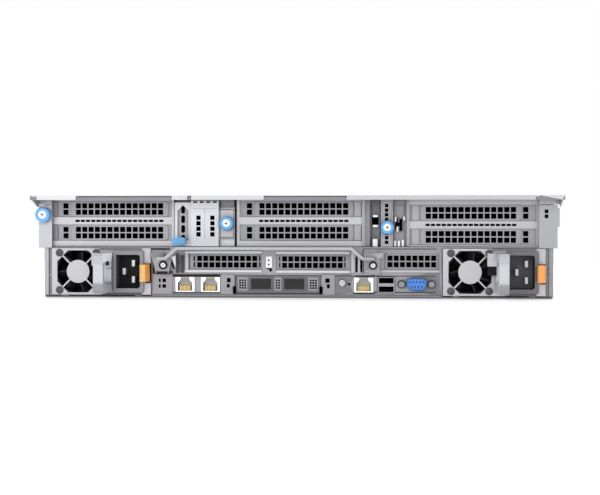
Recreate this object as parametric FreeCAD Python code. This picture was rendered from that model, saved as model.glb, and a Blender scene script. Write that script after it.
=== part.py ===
import FreeCAD, Part
import math
import os
from FreeCAD import Vector

# A 2U rack server in millimetres. Seen from the rear, +X is right and +Z is up.
# The rear faces -Y, and the rack ears stand near the front end, at +Y.
# The origin lies on the underside, midway between the ears' plane and the rear.

# Overall sizes
BODY_WIDTH = 434.0
BODY_HEIGHT = 87.0
EAR_TO_REAR = 700.0
NOSE = 22.0
SHEET = 1.2
THIN_SHEET = 0.8
BEND = 2.0
RUN_GAP = 0.3
SLIDE_GAP = 0.5
PIN_PLAY = 0.06

# Top cover and rear header
HEADER_OVERHANG = 20.2
HEADER_FLARE = 7.4
HEADER_FACE = 2.3
HEADER_SHELF = 24.0
COVER_TRAVEL = 17.0
SKIRT_DROP = 12.0
SKIRT_SHEET = 1.0
SKIRT_SLANT = 28.0
LATCH_POCKET = (56.0, 92.0, 8.8)
LATCH_PIN_R = 2.0

# Rear corner brackets
BRACKET_WIDTH = 11.5
RIGHT_BRACKET_WIDTH = 15.4
BRACKET_STANDOUT = 4.6
RIGHT_BRACKET_STANDOUT = 3.3
RETURN_FLANGE = 3.6

# Power supplies
PSU_WIDTH = 86.0
PSU_HEIGHT = 40.0
PSU_LENGTH = 185.0
PSU_SHEET = 1.0
PSU_SIDE_GAP = 6.4
PSU_LIFT = 1.0
PSU_FAN_X = 22.8
PSU_FAN_OPENING = 36.2
PSU_FAN_CORNER = 9.4
PSU_HUB_R = 9.9
PSU_SPOKE = 1.3
PSU_ROTOR_R = 17.6
HANDLE_OUT = 41.0
HANDLE_GRIP = 8.2
HANDLE_GRIP_X = 44.5
HANDLE_THICK = 6.0
HANDLE_ROOT_TOP = 16.4
HANDLE_ROOT_LOW = 17.2
HANDLE_LOOP_TOP = 8.7
HANDLE_LOOP_LOW = 9.3
INLET_INSET = 19.5
INLET_FLANGE = (27.2, 36.0)
INLET_MOUTH = (20.6, 28.6)
INLET_DEPTH = 18.0
INLET_PIN = (2.6, 5.6)
INLET_CORNER = 1.5
INLET_PIN_PITCH = 14.0
LATCH_INSET = 3.3
LATCH_HEIGHT = 14.6
LATCH_DROP = 1.0
LATCH_OUT = 13.0

# Upper row: left riser, boot drive bay, middle riser, latch column, right riser
CORNER_LEFT = 4.6
CORNER_RIGHT = 11.4
LEFT_RISER_WIDTH = 107.6
BOOT_BAY_WIDTH = 53.9
MIDDLE_RISER_WIDTH = 113.8
COLUMN_WIDTH = 31.1
RISER_SETBACK = 4.0
RISER_DEPTH = 200.0
RIGHT_RISER_DROP = 3.4
SLOT_PITCH = 20.32
SLOT_TOP_OFFSET = 11.2
SLOT_WINDOW = 13.8
COVER_SHEET = 1.0
COVER_EMBOSS = 0.7
EMBOSS_HEIGHT = 13.2
EMBOSS_LENGTH = 84.6
VENT_SQUARE = 3.9
VENT_PITCH = 5.5
VENT_COLUMNS = 14

# Lower middle: low slots above the port row
LOW_SLOT_MIDDLE = 30.8
LOW_SLOT_WINDOW = 13.4
LOW_VENT_PITCH = 5.27
PORT_ROW_TOP = 20.4
PANEL_SETBACK = 1.0

# Circuit board and what stands on it
BOARD_BOTTOM = 3.0
BOARD_SHEET = 1.6
BOARD_FRONT = 96.0
SINK_SIZE = (78.0, 108.0, 62.0)
SINK_X = 100.0
FIN_COUNT = 11
MODULE_LENGTH = 133.35
MODULE_HEIGHT = 26.0
MODULE_PITCH = 11.0
MODULES_PER_BANK = 3

# System fans
FAN_COUNT = 4
FAN_SIZE = 80.0
FAN_DEPTH = 38.0
FAN_BORE_R = 38.4
FAN_HUB_R = 18.0
FAN_PITCH = 104.0

# Front end
CAGE_DEPTH = 160.0
BAY_COLUMNS = 4
BAY_PITCH = 106.0
BAY_WINDOW = (105.0, 26.9)
ROW_PITCH = 27.7
DISK_SIZE = (101.6, 147.0, 25.4)
BEZEL_DEPTH = 12.0
LEVER_LENGTH = 66.0
EAR_REACH = 24.3
EAR_SHEET = 2.0
EAR_HOLE_REACH = 15.55
EAR_HOLE_RISE = 76.2
EAR_SLOT = (10.0, 6.8)
STUD_R = 2.5
STUD_STANDOUT = 4.8
STUD_HEAD_R = 4.2

# Places worked out from the sizes above
REAR = -EAR_TO_REAR / 2
EAR_Y = EAR_TO_REAR / 2
FRONT = EAR_Y + NOSE
HALF = BODY_WIDTH / 2
INNER = HALF - SHEET
FLOOR = SHEET
COVER_UNDER = BODY_HEIGHT - SHEET
HEADER_TOP = COVER_UNDER - RUN_GAP
WALL_TOP = HEADER_TOP - SHEET
PSU_Z = FLOOR + PSU_LIFT
PSU_TOP = PSU_Z + PSU_HEIGHT
LATCH_X = PSU_WIDTH - LATCH_INSET
INLET_X = PSU_WIDTH - INLET_INSET
SHELF_Z = PSU_TOP + 0.4
STRAP_TOP = SHELF_Z + 1.1
LIP_LOW = HEADER_TOP - HEADER_FACE
UPPER_Z = SHELF_Z + THIN_SHEET + RUN_GAP
RISER_TOP = WALL_TOP - RUN_GAP
BOARD_TOP = BOARD_BOTTOM + BOARD_SHEET
BAY_WALL = PSU_SIDE_GAP + PSU_WIDTH + 0.4
MIDDLE_HALF = HALF - BAY_WALL - THIN_SHEET
CAGE_BACK = FRONT - 2.0 - CAGE_DEPTH
COVER_FRONT = CAGE_BACK - 3.0
LEFT_RISER_X = -HALF + CORNER_LEFT
BOOT_X = LEFT_RISER_X + LEFT_RISER_WIDTH
MIDDLE_RISER_X = BOOT_X + BOOT_BAY_WIDTH
COLUMN_X = MIDDLE_RISER_X + MIDDLE_RISER_WIDTH
RIGHT_RISER_X = COLUMN_X + COLUMN_WIDTH
RIGHT_RISER_END = HALF - CORNER_RIGHT


def at(axis, u, v, w=0.0):
    """Point w along the axis, with u and v across it in X, Y, Z order."""
    if axis == "x":
        return Vector(w, u, v)
    if axis == "y":
        return Vector(u, w, v)
    return Vector(u, v, w)


def box(x, y, z):
    return Part.makeBox(x[1] - x[0], y[1] - y[0], z[1] - z[0], Vector(x[0], y[0], z[0]))


def rod(axis, radius, lo, hi, u, v):
    return Part.makeCylinder(radius, hi - lo, at(axis, u, v, lo), at(axis, 0, 0, 1))


def polygon(axis, points):
    corners = [at(axis, u, v) for u, v in points]
    return Part.makePolygon(corners + corners[:1])


def oblong(axis, u, v, width, height):
    half_w, half_h = width / 2, height / 2
    corners = [(-half_w, -half_h), (half_w, -half_h), (half_w, half_h), (-half_w, half_h)]
    return polygon(axis, [(u + a, v + b) for a, b in corners])


def ring(axis, u, v, radius):
    return Part.Wire(Part.Circle(at(axis, u, v), at(axis, 0, 0, 1), radius).toShape())


def rounded(axis, u, v, width, height, radius):
    """Oblong with round corners, as one closed wire."""
    a, b = width / 2 - radius, height / 2 - radius
    edges = []
    for turn, (cu, cv) in enumerate([(a, b), (-a, b), (-a, -b), (a, -b)]):
        start = turn * math.pi / 2
        ends = [start, start + math.pi / 4, start + math.pi / 2]
        arc = [(u + cu + radius * math.cos(t), v + cv + radius * math.sin(t)) for t in ends]
        edges.append([at(axis, *p) for p in arc])
    lines = []
    for here, after in zip(edges, edges[1:] + edges[:1]):
        lines.append(Part.Arc(*here).toShape())
        if here[2].distanceToPoint(after[0]) > 1e-6:
            lines.append(Part.LineSegment(here[2], after[0]).toShape())
    return Part.Wire(lines)


def clipped(axis, u, v, width, height, corner):
    """Oblong with its corners cut off, as one closed wire."""
    a, b = width / 2, height / 2
    c, d = a - corner, b - corner
    points = [(c, b), (a, d), (a, -d), (c, -b), (-c, -b), (-a, -d), (-a, d), (-c, b)]
    return polygon(axis, [(u + p, v + q) for p, q in points])


def ngon(axis, u, v, radius, sides):
    angles = [2 * math.pi * i / sides for i in range(sides)]
    return polygon(axis, [(u + radius * math.cos(t), v + radius * math.sin(t)) for t in angles])


def slab(axis, lo, hi, outline, holes=()):
    """Solid between two planes across the axis, with the holes left open."""
    face = Part.makeFace([outline] + list(holes), "Part::FaceMakerBullseye")
    face.translate(at(axis, 0, 0, lo))
    solid = face.extrude(at(axis, 0, 0, hi - lo))
    return solid.Solids[0] if len(solid.Solids) == 1 else solid


def fuse(shapes):
    whole = shapes[0].fuse(list(shapes[1:])) if len(shapes) > 1 else shapes[0]
    whole = whole.removeSplitter()
    return whole.Solids[0] if len(whole.Solids) == 1 else whole


def cut(shape, tools):
    done = shape.cut(Part.makeCompound(list(tools)))
    return done.Solids[0] if len(done.Solids) == 1 else done


def soften(shape, radius, keep):
    """Fillet the edges that keep(edge) picks."""
    edges = [edge for edge in shape.Edges if keep(edge)]
    return shape.makeFillet(radius, edges) if edges else shape


def along(axis):
    """Test for a straight edge that runs along an axis."""
    way = at(axis, 0, 0, 1)

    def test(edge):
        if not isinstance(edge.Curve, Part.Line):
            return False
        return abs(edge.Curve.Direction.dot(way)) > 0.999
    return test


def out(distance):
    """Y of a plane this far behind the body's rear edge."""
    return REAR - distance


def grid(count, pitch, middle=0.0):
    return [middle + (i - (count - 1) / 2) * pitch for i in range(count)]


# ---------------------------------------------------------------- chassis

BOARD_POSTS = [(x, y) for x in (-100.0, 0.0, 100.0) for y in (REAR + 60, REAR + 160)]
BOARD_POSTS += [(x, BOARD_FRONT - 12) for x in (-190.0, 0.0, 190.0)]
STUD_Z = BODY_HEIGHT / 2
CORNER_SCREW = (-HALF + 0.2, BODY_HEIGHT - 16.1)
THUMB_SHAFT_R = 2.0


def stud_places():
    return [REAR + 90, EAR_Y - 90]


def rail_stud(side, y):
    """Shouldered stud on a side wall, for a rack rail's keyhole."""
    foot, tip = sorted((side * (HALF - 0.4), side * (HALF + STUD_STANDOUT - SHEET)))
    shank = slab("x", foot, tip, ngon("x", y, STUD_Z, STUD_R, 12))
    head_ends = sorted((side * (HALF + STUD_STANDOUT - SHEET), side * (HALF + STUD_STANDOUT)))
    head = slab("x", head_ends[0], head_ends[1], ngon("x", y, STUD_Z, STUD_HEAD_R, 12))
    return [shank, head]


def chassis_pan():
    outer = box((-HALF, HALF), (REAR, FRONT - 2), (0, WALL_TOP))
    low_edge = along("y")
    outer = soften(outer, BEND, lambda e: low_edge(e) and e.BoundBox.ZMax < 1)
    inner = box((-INNER, INNER), (REAR - 1, FRONT), (FLOOR, BODY_HEIGHT))
    inner = soften(inner, BEND - SHEET, lambda e: low_edge(e) and e.BoundBox.ZMax < FLOOR + 1)
    pan = outer.cut(inner)
    extras = []
    for side in (-1, 1):
        flange_x = sorted((side * HALF, side * (HALF - RETURN_FLANGE)))
        extras.append(box(flange_x, (REAR, REAR + SHEET), (BEND, WALL_TOP)))
        lip_x = sorted((side * INNER, side * (INNER - 8)))
        lip_y = (REAR + HEADER_SHELF + 1, CAGE_BACK - 4)
        extras.append(box(lip_x, lip_y, (WALL_TOP - SHEET, WALL_TOP)))
        for y in stud_places():
            extras += rail_stud(side, y)
    for x, y in BOARD_POSTS:
        extras.append(slab("z", FLOOR - 0.2, BOARD_BOTTOM, ngon("z", x, y, 3.2, 6)))
    pan = fuse([pan] + extras)
    notch = rod("y", THUMB_SHAFT_R + 1.2, REAR - 1, REAR + 12, *CORNER_SCREW)
    return cut(pan, [notch])


def rear_header():
    """Folded rail across the top of the rear, with its flared ends."""
    half = HALF + HEADER_FLARE
    fold_y = (out(HEADER_OVERHANG), out(HEADER_OVERHANG - SHEET))
    pieces = [
        box((-half, half), (out(HEADER_OVERHANG), REAR), (WALL_TOP, HEADER_TOP)),
        box((-HALF + 0.3, HALF - 0.3), (REAR, REAR + HEADER_SHELF), (WALL_TOP, HEADER_TOP)),
        box((-half, half), fold_y, (HEADER_TOP - HEADER_FACE, HEADER_TOP)),
        box((-half, -HALF - 1.6), fold_y, (HEADER_TOP, BODY_HEIGHT)),
        box((HALF - 13.6, half), fold_y, (HEADER_TOP, BODY_HEIGHT)),
    ]
    web_bottom = CORNER_SCREW[1] + 8.6
    cheek = [
        (out(0), WALL_TOP),
        (out(HEADER_OVERHANG), WALL_TOP),
        (out(HEADER_OVERHANG), HEADER_TOP - HEADER_FACE),
        (out(SHEET), web_bottom - 2),
        (out(0), web_bottom - 2),
    ]
    for side in (-1, 1):
        cheek_x = sorted((side * (half - 2.4), side * (half - 1.2)))
        pieces.append(slab("x", cheek_x[0], cheek_x[1], polygon("x", cheek)))
        width = BRACKET_WIDTH if side < 0 else RIGHT_BRACKET_WIDTH
        web_x = sorted((side * (half - 1.2), bracket_edge(side) - side * width))
        pieces.append(box(web_x, (out(SHEET), REAR), (web_bottom, WALL_TOP)))
    return fuse(pieces)


def bracket_edge(side):
    """X of a corner bracket's outer edge."""
    return -HALF - BRACKET_STANDOUT if side < 0 else HALF + RIGHT_BRACKET_STANDOUT


def corner_bracket(side):
    """L bracket over a rear corner: front flange, and a leg along the side."""
    width = BRACKET_WIDTH if side < 0 else RIGHT_BRACKET_WIDTH
    top = CORNER_SCREW[1] + 8.2
    low = SHELF_Z
    outer_x = bracket_edge(side)
    face_x = sorted((outer_x, outer_x - side * width))
    leg_x = sorted((outer_x, outer_x - side * SHEET))
    foot_x = sorted((outer_x, side * HALF))
    leg_z = (low + 6, COVER_UNDER - SKIRT_DROP - 1.2)
    pieces = [
        box(face_x, (out(SHEET), REAR), (low, top)),
        box(leg_x, (REAR, REAR + 26), leg_z),
        box(foot_x, (REAR + 24.8, REAR + 26), leg_z),
        box(sorted((side * HALF, side * (HALF + SHEET))), (REAR + 26, REAR + 40), leg_z),
    ]
    bracket = fuse(pieces)
    if side < 0:
        hole = rod("y", THUMB_SHAFT_R + PIN_PLAY, out(3), REAR + 3, *CORNER_SCREW)
        return cut(bracket, [hole])
    hook = box((outer_x, outer_x + 1.7), (out(SHEET), REAR + 6), (low + 18, low + 34))
    holes = [
        box((outer_x - 10.8, outer_x - 7.8), (out(3), REAR + 3), (z - 1.5, z + 1.5))
        for z in (top - 5.4, top - 9.6)
    ]
    return cut(fuse([bracket, hook]), holes)


def main_cover():
    """Sliding top cover with side skirts, rear hooks and the latch's pocket."""
    skirt_out = HALF + RUN_GAP + SKIRT_SHEET
    tongue_x = (-HALF - 1.2, HALF - 16.8)
    edge_y = out(HEADER_OVERHANG + 0.2 + SHEET)
    pieces = [
        box((-skirt_out, skirt_out), (REAR, COVER_FRONT), (COVER_UNDER, BODY_HEIGHT)),
        box(tongue_x, (edge_y, REAR), (COVER_UNDER, BODY_HEIGHT)),
        box(tongue_x, (edge_y, edge_y + SHEET), (HEADER_TOP - HEADER_FACE + 0.1, COVER_UNDER)),
    ]
    skirt_end, skirt_low = REAR + COVER_TRAVEL + 5, COVER_UNDER - SKIRT_DROP
    skirt = polygon("x", [
        (skirt_end, COVER_UNDER), (COVER_FRONT, COVER_UNDER), (COVER_FRONT, skirt_low),
        (skirt_end + SKIRT_SLANT, skirt_low), (skirt_end, COVER_UNDER - 2),
    ])
    for side in (-1, 1):
        skirt_x = sorted((side * (HALF + RUN_GAP), side * skirt_out))
        pieces.append(slab("x", skirt_x[0], skirt_x[1], skirt))
    wide, long, deep = LATCH_POCKET
    pocket_y = latch_pocket_y()
    dish = box(
        (-wide / 2 - 1, wide / 2 + 1), (pocket_y[0] - 1, pocket_y[1] + 1),
        (COVER_UNDER - deep, COVER_UNDER),
    )
    cover = fuse(pieces + [dish])
    hollow = box((-wide / 2, wide / 2), pocket_y, (COVER_UNDER - deep + 1, BODY_HEIGHT + 1))
    pin_hole = rod("x", LATCH_PIN_R + PIN_PLAY, -wide, wide, *latch_pin())
    notches = []
    spans = [
        (-HALF + 32.3, BOOT_X + 1.8),
        (BOOT_X + 14.9, BOOT_X + 18.3),
        (MIDDLE_RISER_X + 25.5, COLUMN_X - 18.8),
    ]
    for span in spans:
        notches.append(box(span, (edge_y - 1, out(9)), (HEADER_TOP - 4, BODY_HEIGHT + 1)))
    for y in (REAR + 60, pocket_y[1] + 14):
        for x in (-HALF / 2, HALF / 2):
            panel = clipped("z", x, y + 22, HALF - 60, 44, 6)
            notches.append(slab("z", BODY_HEIGHT - 0.5, BODY_HEIGHT + 1, panel))
    return cut(cover, [hollow, pin_hole] + notches)


def latch_pocket_y():
    return (BOARD_FRONT - 86, BOARD_FRONT - 86 + LATCH_POCKET[1])


def latch_pin():
    return (latch_pocket_y()[1] - 8, COVER_UNDER - 3.2)


def cover_latch():
    """Lever in the cover's pocket: a pivot barrel, a flat arm and a finger curl."""
    wide = LATCH_POCKET[0] - 4
    pin_y, pin_z = latch_pin()
    tip = latch_pocket_y()[0] + 16
    top = BODY_HEIGHT - 0.6
    arm = [
        (pin_y, top), (tip + 2, top), (tip, top - 1.5), (tip, top - 5.2), (tip + 2.2, top - 5.2),
        (tip + 2.2, top - 2.4), (pin_y, top - 2.4),
    ]
    barrel = rod("x", 3.4, -wide / 2, wide / 2, pin_y, pin_z)
    pin = rod("x", LATCH_PIN_R, -LATCH_POCKET[0] / 2 - 0.9, LATCH_POCKET[0] / 2 + 0.9, pin_y, pin_z)
    plate = slab("x", -wide / 2, wide / 2, polygon("x", arm))
    ribs = [
        box((x - 1, x + 1), (tip + 8, pin_y), (top - 5.4, top - 2.4))
        for x in (-wide / 2 + 2, wide / 2 - 2)
    ]
    relief = slab("z", top - 0.7, top + 1, clipped("z", 0, tip + 24, wide - 16, 30, 6))
    return cut(fuse([barrel, pin, plate] + ribs), [relief])


# ---------------------------------------------------------------- power supplies

PSU_LEFT_X = -HALF + PSU_SIDE_GAP
PSU_RIGHT_X = HALF - PSU_SIDE_GAP - PSU_WIDTH
PSU_MIDDLE_Z = PSU_Z + PSU_HEIGHT / 2
PSU_LATCH_PIVOT = 8.0
PSU_FACE = REAR


def psu_case(x):
    """Sheet case with its finger guard, and the fan's frame behind it."""
    fan_x, z = x + PSU_FAN_X, PSU_MIDDLE_Z
    face, back = PSU_FACE, PSU_FACE + PSU_LENGTH
    t = PSU_SHEET
    shell = box((x, x + PSU_WIDTH), (face, back), (PSU_Z, PSU_TOP))
    hollow = box((x + t, x + PSU_WIDTH - t), (face + t, back - t), (PSU_Z + t, PSU_TOP - t))
    opening = slab("y", face - 1, face + t, clipped("y", fan_x, z, PSU_FAN_OPENING, PSU_FAN_OPENING, PSU_FAN_CORNER))
    hub = rod("y", PSU_HUB_R, face, face + t, fan_x, z)
    spokes = []
    for turn in (45, 135):
        spoke = box((-PSU_FAN_OPENING, PSU_FAN_OPENING), (face, face + t), (-PSU_SPOKE / 2, PSU_SPOKE / 2))
        spoke.rotate(Vector(0, 0, 0), Vector(0, 1, 0), turn)
        spoke.translate(Vector(fan_x, 0, z))
        spokes.append(spoke)
    opening = opening.cut([hub] + spokes)
    cup = INLET_MOUTH[0] + 3 + SLIDE_GAP, INLET_MOUTH[1] + 3 + SLIDE_GAP
    inlet = slab("y", face - 1, face + t, oblong("y", x + INLET_X, z, *cup))
    latch_z = (latch_middle() - LATCH_HEIGHT / 2 - 0.6, latch_middle() + LATCH_HEIGHT / 2 + 0.6)
    pocket = box((x + LATCH_X - 3.4, x + PSU_WIDTH + 1), (face - 1, face + PSU_LATCH_PIVOT + 4), latch_z)
    vents = [
        slab("y", back - t, back + 1, oblong("y", px, z + 6, 3, 20))
        for px in grid(5, 9, x + PSU_WIDTH / 2)
    ]
    case = cut(shell, [hollow, opening, inlet, pocket] + vents)
    lugs = [
        box((x + LATCH_X - 3.4, x + PSU_WIDTH - t), (face + 4, face + 12), (lz - 0.5, lz + 0.5))
        for lz in (latch_z[0] - 0.5, latch_z[1] + 0.5)
    ]
    pivot = rod("z", 1.2, latch_z[0] - 0.2, latch_z[1] + 0.2, x + LATCH_X, face + PSU_LATCH_PIVOT)
    edge_finger = box((x + 20, x + 66), (back - t, back + 8), (PSU_Z + 4, PSU_Z + 5.6))
    case = fuse([case, pivot, edge_finger] + lugs)
    side = PSU_HEIGHT - 2 * t - 0.2
    frame = slab(
        "y", face + t, face + 17, oblong("y", fan_x, z, side, side),
        [ring("y", fan_x, z, PSU_ROTOR_R + 0.7)],
    )
    return Part.makeCompound([case, frame])


def fan_blade(root_r, tip_r, depth, lean, thick):
    """Cambered blade along +X: two flat stretches that meet at the middle line."""
    half = depth / 2
    line = [(-lean, -half), (lean * 0.28, -half * 0.1), (lean, half)]
    profile = line + [(z + thick, y) for z, y in reversed(line)]
    reach = math.sqrt(tip_r ** 2 - (lean + thick) ** 2)
    points = [Vector(root_r, y, z) for z, y in profile]
    face = Part.Face(Part.makePolygon(points + points[:1]))
    return face.extrude(Vector(reach - root_r, 0, 0))


def fan_rotor(x, z, y, depth, hub_r, tip_r, blades):
    """Hub and its blades, turning about Y at (x, z) around a middle plane at y."""
    sides = blades * 2
    hub = slab("y", -depth / 2, depth / 2, ngon("y", 0, 0, hub_r, sides))
    root_r = hub_r * math.cos(math.pi / sides) - 1.2
    vanes = []
    for i in range(blades):
        vane = fan_blade(root_r, tip_r, depth * 0.84, hub_r * 0.4, 1.1)
        vane.rotate(Vector(0, 0, 0), Vector(0, 1, 0), 360 / blades * (i + 0.25))
        vanes.append(vane)
    rotor = fuse([hub] + vanes)
    rotor.translate(Vector(x, y, z))
    return rotor


def psu_rotor(x):
    depth = 13.0
    middle = PSU_FACE + PSU_SHEET + RUN_GAP + depth / 2
    return fan_rotor(
        x + PSU_FAN_X, PSU_MIDDLE_Z, middle, depth, PSU_HUB_R - 0.6, PSU_ROTOR_R, 7)


def psu_handle(x):
    """Moulded loop handle: grip bar, two arms and the root block beside it."""
    z = PSU_MIDDLE_Z
    left = x + HANDLE_GRIP_X
    top, low = z + HANDLE_ROOT_TOP, z - HANDLE_ROOT_LOW
    bar = out(HANDLE_OUT - 1.2)
    outer = [
        (out(0), top), (out(HANDLE_OUT - 2), top), (out(HANDLE_OUT), top - 2),
        (out(HANDLE_OUT), z + HANDLE_LOOP_TOP), (bar, z + HANDLE_LOOP_TOP - 0.6),
        (bar, z - HANDLE_LOOP_LOW + 0.6), (out(HANDLE_OUT), z - HANDLE_LOOP_LOW),
        (out(HANDLE_OUT), low + 3), (out(HANDLE_OUT - 3), low), (out(0), low),
    ]
    hole = out(HANDLE_OUT - HANDLE_THICK)
    inner = [
        (out(5), z + HANDLE_LOOP_TOP), (hole, z + HANDLE_LOOP_TOP),
        (hole, z - HANDLE_LOOP_LOW), (out(5), z - HANDLE_LOOP_LOW),
    ]
    loop = slab("x", left, left + HANDLE_GRIP, polygon("x", outer), [polygon("x", inner)])
    root_block = box((left - 7.6, left + 0.2), (out(11), out(2.2)), (z + 5.4, z + 16.2))
    comb_bar = box((left - 7.2, left + 0.2), (out(6), out(2.2)), (z - 2.4, z + 5.4))
    slots = [
        box((left - 6.2 + i * 2.1, left - 4.9 + i * 2.1), (out(7), out(3.4)), (z - 1.6, z + 3.8))
        for i in range(3)
    ]
    return cut(fuse([loop, root_block, comb_bar]), slots)


def psu_inlet(x):
    """Mains inlet turned on its side: flange, cup with two cut corners, and its pins."""
    u, z = x + INLET_X, PSU_MIDDLE_Z
    wide, tall = INLET_MOUTH
    c = INLET_CORNER
    mouth = [
        (u - wide / 2, z - tall / 2), (u + wide / 2 - c, z - tall / 2), (u + wide / 2, z - tall / 2 + c),
        (u + wide / 2, z + tall / 2 - c), (u + wide / 2 - c, z + tall / 2), (u - wide / 2, z + tall / 2),
    ]
    flange = slab("y", out(1.5), out(0), clipped("y", u, z, *INLET_FLANGE, 1))
    cup = slab("y", out(0), REAR + INLET_DEPTH, oblong("y", u, z, wide + 3, tall + 3))
    cavity = slab("y", out(3), REAR + INLET_DEPTH - 2, polygon("y", mouth))
    body = cut(fuse([flange, cup]), [cavity])
    pins = []
    pin_w, pin_h = INLET_PIN
    for du, dz in ((-4.2, 0.0), (3.8, INLET_PIN_PITCH / 2), (3.8, -INLET_PIN_PITCH / 2)):
        pin = slab(
            "y", REAR + 3.2, REAR + INLET_DEPTH - 2, oblong("y", u + du, z + dz, pin_w, pin_h))
        pins.append(pin)
    return Part.makeCompound([body] + pins)


def latch_middle():
    return PSU_MIDDLE_Z - LATCH_DROP


def psu_latch(x):
    """Release lever on an upright pivot at the power supply's right edge."""
    pivot = (x + LATCH_X, PSU_FACE + PSU_LATCH_PIVOT)
    z = (latch_middle() - LATCH_HEIGHT / 2, latch_middle() + LATCH_HEIGHT / 2)
    root, tip = x + LATCH_X, x + PSU_WIDTH
    outline = [
        (root - 1.4, PSU_FACE + PSU_LATCH_PIVOT + 2.2), (root - 2.3, PSU_FACE + PSU_LATCH_PIVOT),
        (root - 1.2, out(3.2)), (root - 4.3, out(4.4)),
        (root - 4.3, out(LATCH_OUT - 1)), (root - 3.3, out(LATCH_OUT)), (tip - 2.9, out(LATCH_OUT)),
        (tip - 1.9, out(LATCH_OUT - 1)), (tip, out(4.6)), (root + 1.4, out(3.2)),
        (root + 2.3, PSU_FACE + PSU_LATCH_PIVOT), (root + 1.4, PSU_FACE + PSU_LATCH_PIVOT + 2.2),
    ]
    return slab("z", z[0], z[1], polygon("z", outline), [ring("z", *pivot, 1.2 + PIN_PLAY)])


def power_bay_frame():
    """Shelf over both power supplies, with the two walls that carry it."""
    y = (REAR + SHEET + 0.2, REAR + PSU_LENGTH + 5)
    pieces = [box((-INNER, INNER), y, (SHELF_Z, SHELF_Z + THIN_SHEET))]
    for side in (-1, 1):
        wall = sorted((side * MIDDLE_HALF, side * (MIDDLE_HALF + THIN_SHEET)))
        pieces.append(box(wall, y, (FLOOR, SHELF_Z)))
        guide = sorted((side * INNER, side * (INNER - SHEET)))
        pieces.append(box(guide, y, (PSU_MIDDLE_Z - 4, SHELF_Z)))
        rail = sorted((side * INNER, side * (HALF - PSU_SIDE_GAP + RUN_GAP)))
        pieces.append(box(rail, y, (PSU_MIDDLE_Z - 4, PSU_MIDDLE_Z - 2.8)))
    for x in (PSU_LEFT_X, PSU_RIGHT_X):
        for foot in (x + 8, x + PSU_WIDTH - 14):
            pieces.append(box((foot, foot + 6), y, (FLOOR, PSU_Z - 0.3)))
    return Part.makeCompound(split_touching(pieces))


def split_touching(pieces):
    whole = fuse(pieces)
    return whole.Solids


# ---------------------------------------------------------------- risers and slot covers

def vent_field(x, z, columns, pitch, rows=2):
    """Square vent holes, as wires across Y."""
    return [
        oblong("y", u, v, VENT_SQUARE, VENT_SQUARE)
        for u in grid(columns, pitch, x) for v in grid(rows, VENT_PITCH, z)
    ]


def slot_cover(x, z, y_back, field_x, columns, pitch, end_x, pad_width):
    """Blank slot cover with a raised, vented field; end_x holds its end holes."""
    holes = vent_field(field_x, z, columns, pitch)
    ends = [oblong("y", u, v, w, VENT_SQUARE) for u, w in end_x for v in grid(2, VENT_PITCH, z)]
    middle = (x[0] + x[1]) / 2
    plate = slab(
        "y", y_back - COVER_SHEET, y_back,
        oblong("y", middle, z, x[1] - x[0], SLOT_WINDOW + 2.2), holes + ends,
    )
    pad = slab(
        "y", y_back - COVER_SHEET - COVER_EMBOSS, y_back - COVER_SHEET,
        clipped("y", field_x, z, pad_width, EMBOSS_HEIGHT, 1.6), holes,
    )
    return fuse([plate, pad])


def slot_heights(drop):
    first = BODY_HEIGHT - SLOT_TOP_OFFSET - drop
    return [first, first - SLOT_PITCH]


def riser_layout():
    """Left edge, right edge, drop, vent field's middle and end holes' place."""
    field = VENT_PITCH * (VENT_COLUMNS - 1) / 2
    return {
        "left": (LEFT_RISER_X, BOOT_X, 0.0, LEFT_RISER_X + 24.1 + field, LEFT_RISER_X + 13.0),
        "middle": (MIDDLE_RISER_X, COLUMN_X, 0.0, MIDDLE_RISER_X + 21.6 + field, MIDDLE_RISER_X + 10.8),
        "right": (
            RIGHT_RISER_X, RIGHT_RISER_END, RIGHT_RISER_DROP,
            RIGHT_RISER_X + 18.4 + field, RIGHT_RISER_END - 11.3,
        ),
    }


def riser_cage(name):
    """Rear plate with two windows, a long wall and a short lip."""
    x0, x1, drop, _, _ = riser_layout()[name]
    y = REAR + RISER_SETBACK
    middle = (x0 + x1) / 2
    windows = [
        oblong("y", middle, z, x1 - x0 - 5, SLOT_WINDOW) for z in slot_heights(drop)
    ]
    height = RISER_TOP - UPPER_Z
    plate = slab(
        "y", y, y + SHEET, oblong("y", middle, UPPER_Z + height / 2, x1 - x0, height), windows,
    )
    wall_y = (y, REAR + RISER_DEPTH)
    wall = box((x1 - SHEET, x1), wall_y, (UPPER_Z, RISER_TOP - 4))
    lip = box((x0, x0 + SHEET), (y, y + 14), (UPPER_Z, RISER_TOP))
    foot = box((x1 - 16, x1), (y + 30, REAR + RISER_DEPTH), (UPPER_Z, UPPER_Z + SHEET))
    pieces = [plate, wall, lip, foot]
    cuts = []
    if name == "middle":
        pieces += boot_wing(x0, y)
        cuts.append(thumb_hole(*boot_screw()))
        pieces += column_recess(x1, y)
    if name == "right":
        pieces += column_plate(x0, y)
        cuts += column_vents(x0)
        cuts.append(thumb_hole(*column_screw()))
    cage = fuse(pieces)
    return cut(cage, cuts) if cuts else cage


def thumb_hole(x, z):
    return rod("y", THUMB_SHAFT_R + PIN_PLAY, out(5), REAR + 8, x, z)


def boot_screw():
    return (MIDDLE_RISER_X - 7.9, BODY_HEIGHT - 23.4)


def boot_wing(x0, y):
    """Screw plate beside the boot drive, joined to the middle riser by a channel."""
    z = (BODY_HEIGHT - 36.4, BODY_HEIGHT - 12)
    inner = x0 - 1.6
    return [
        box((x0 - 14.6, inner), (REAR + 1.5, REAR + 2.7), z),
        box((inner - SHEET, inner), (REAR + 1.5, y + 14), z),
        box((inner - SHEET, x0 + SHEET), (y + 12.8, y + 14), z),
        box((x0 - 14.6, inner), (y, y + SHEET), (UPPER_Z, BODY_HEIGHT - 10)),
    ]


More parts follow.
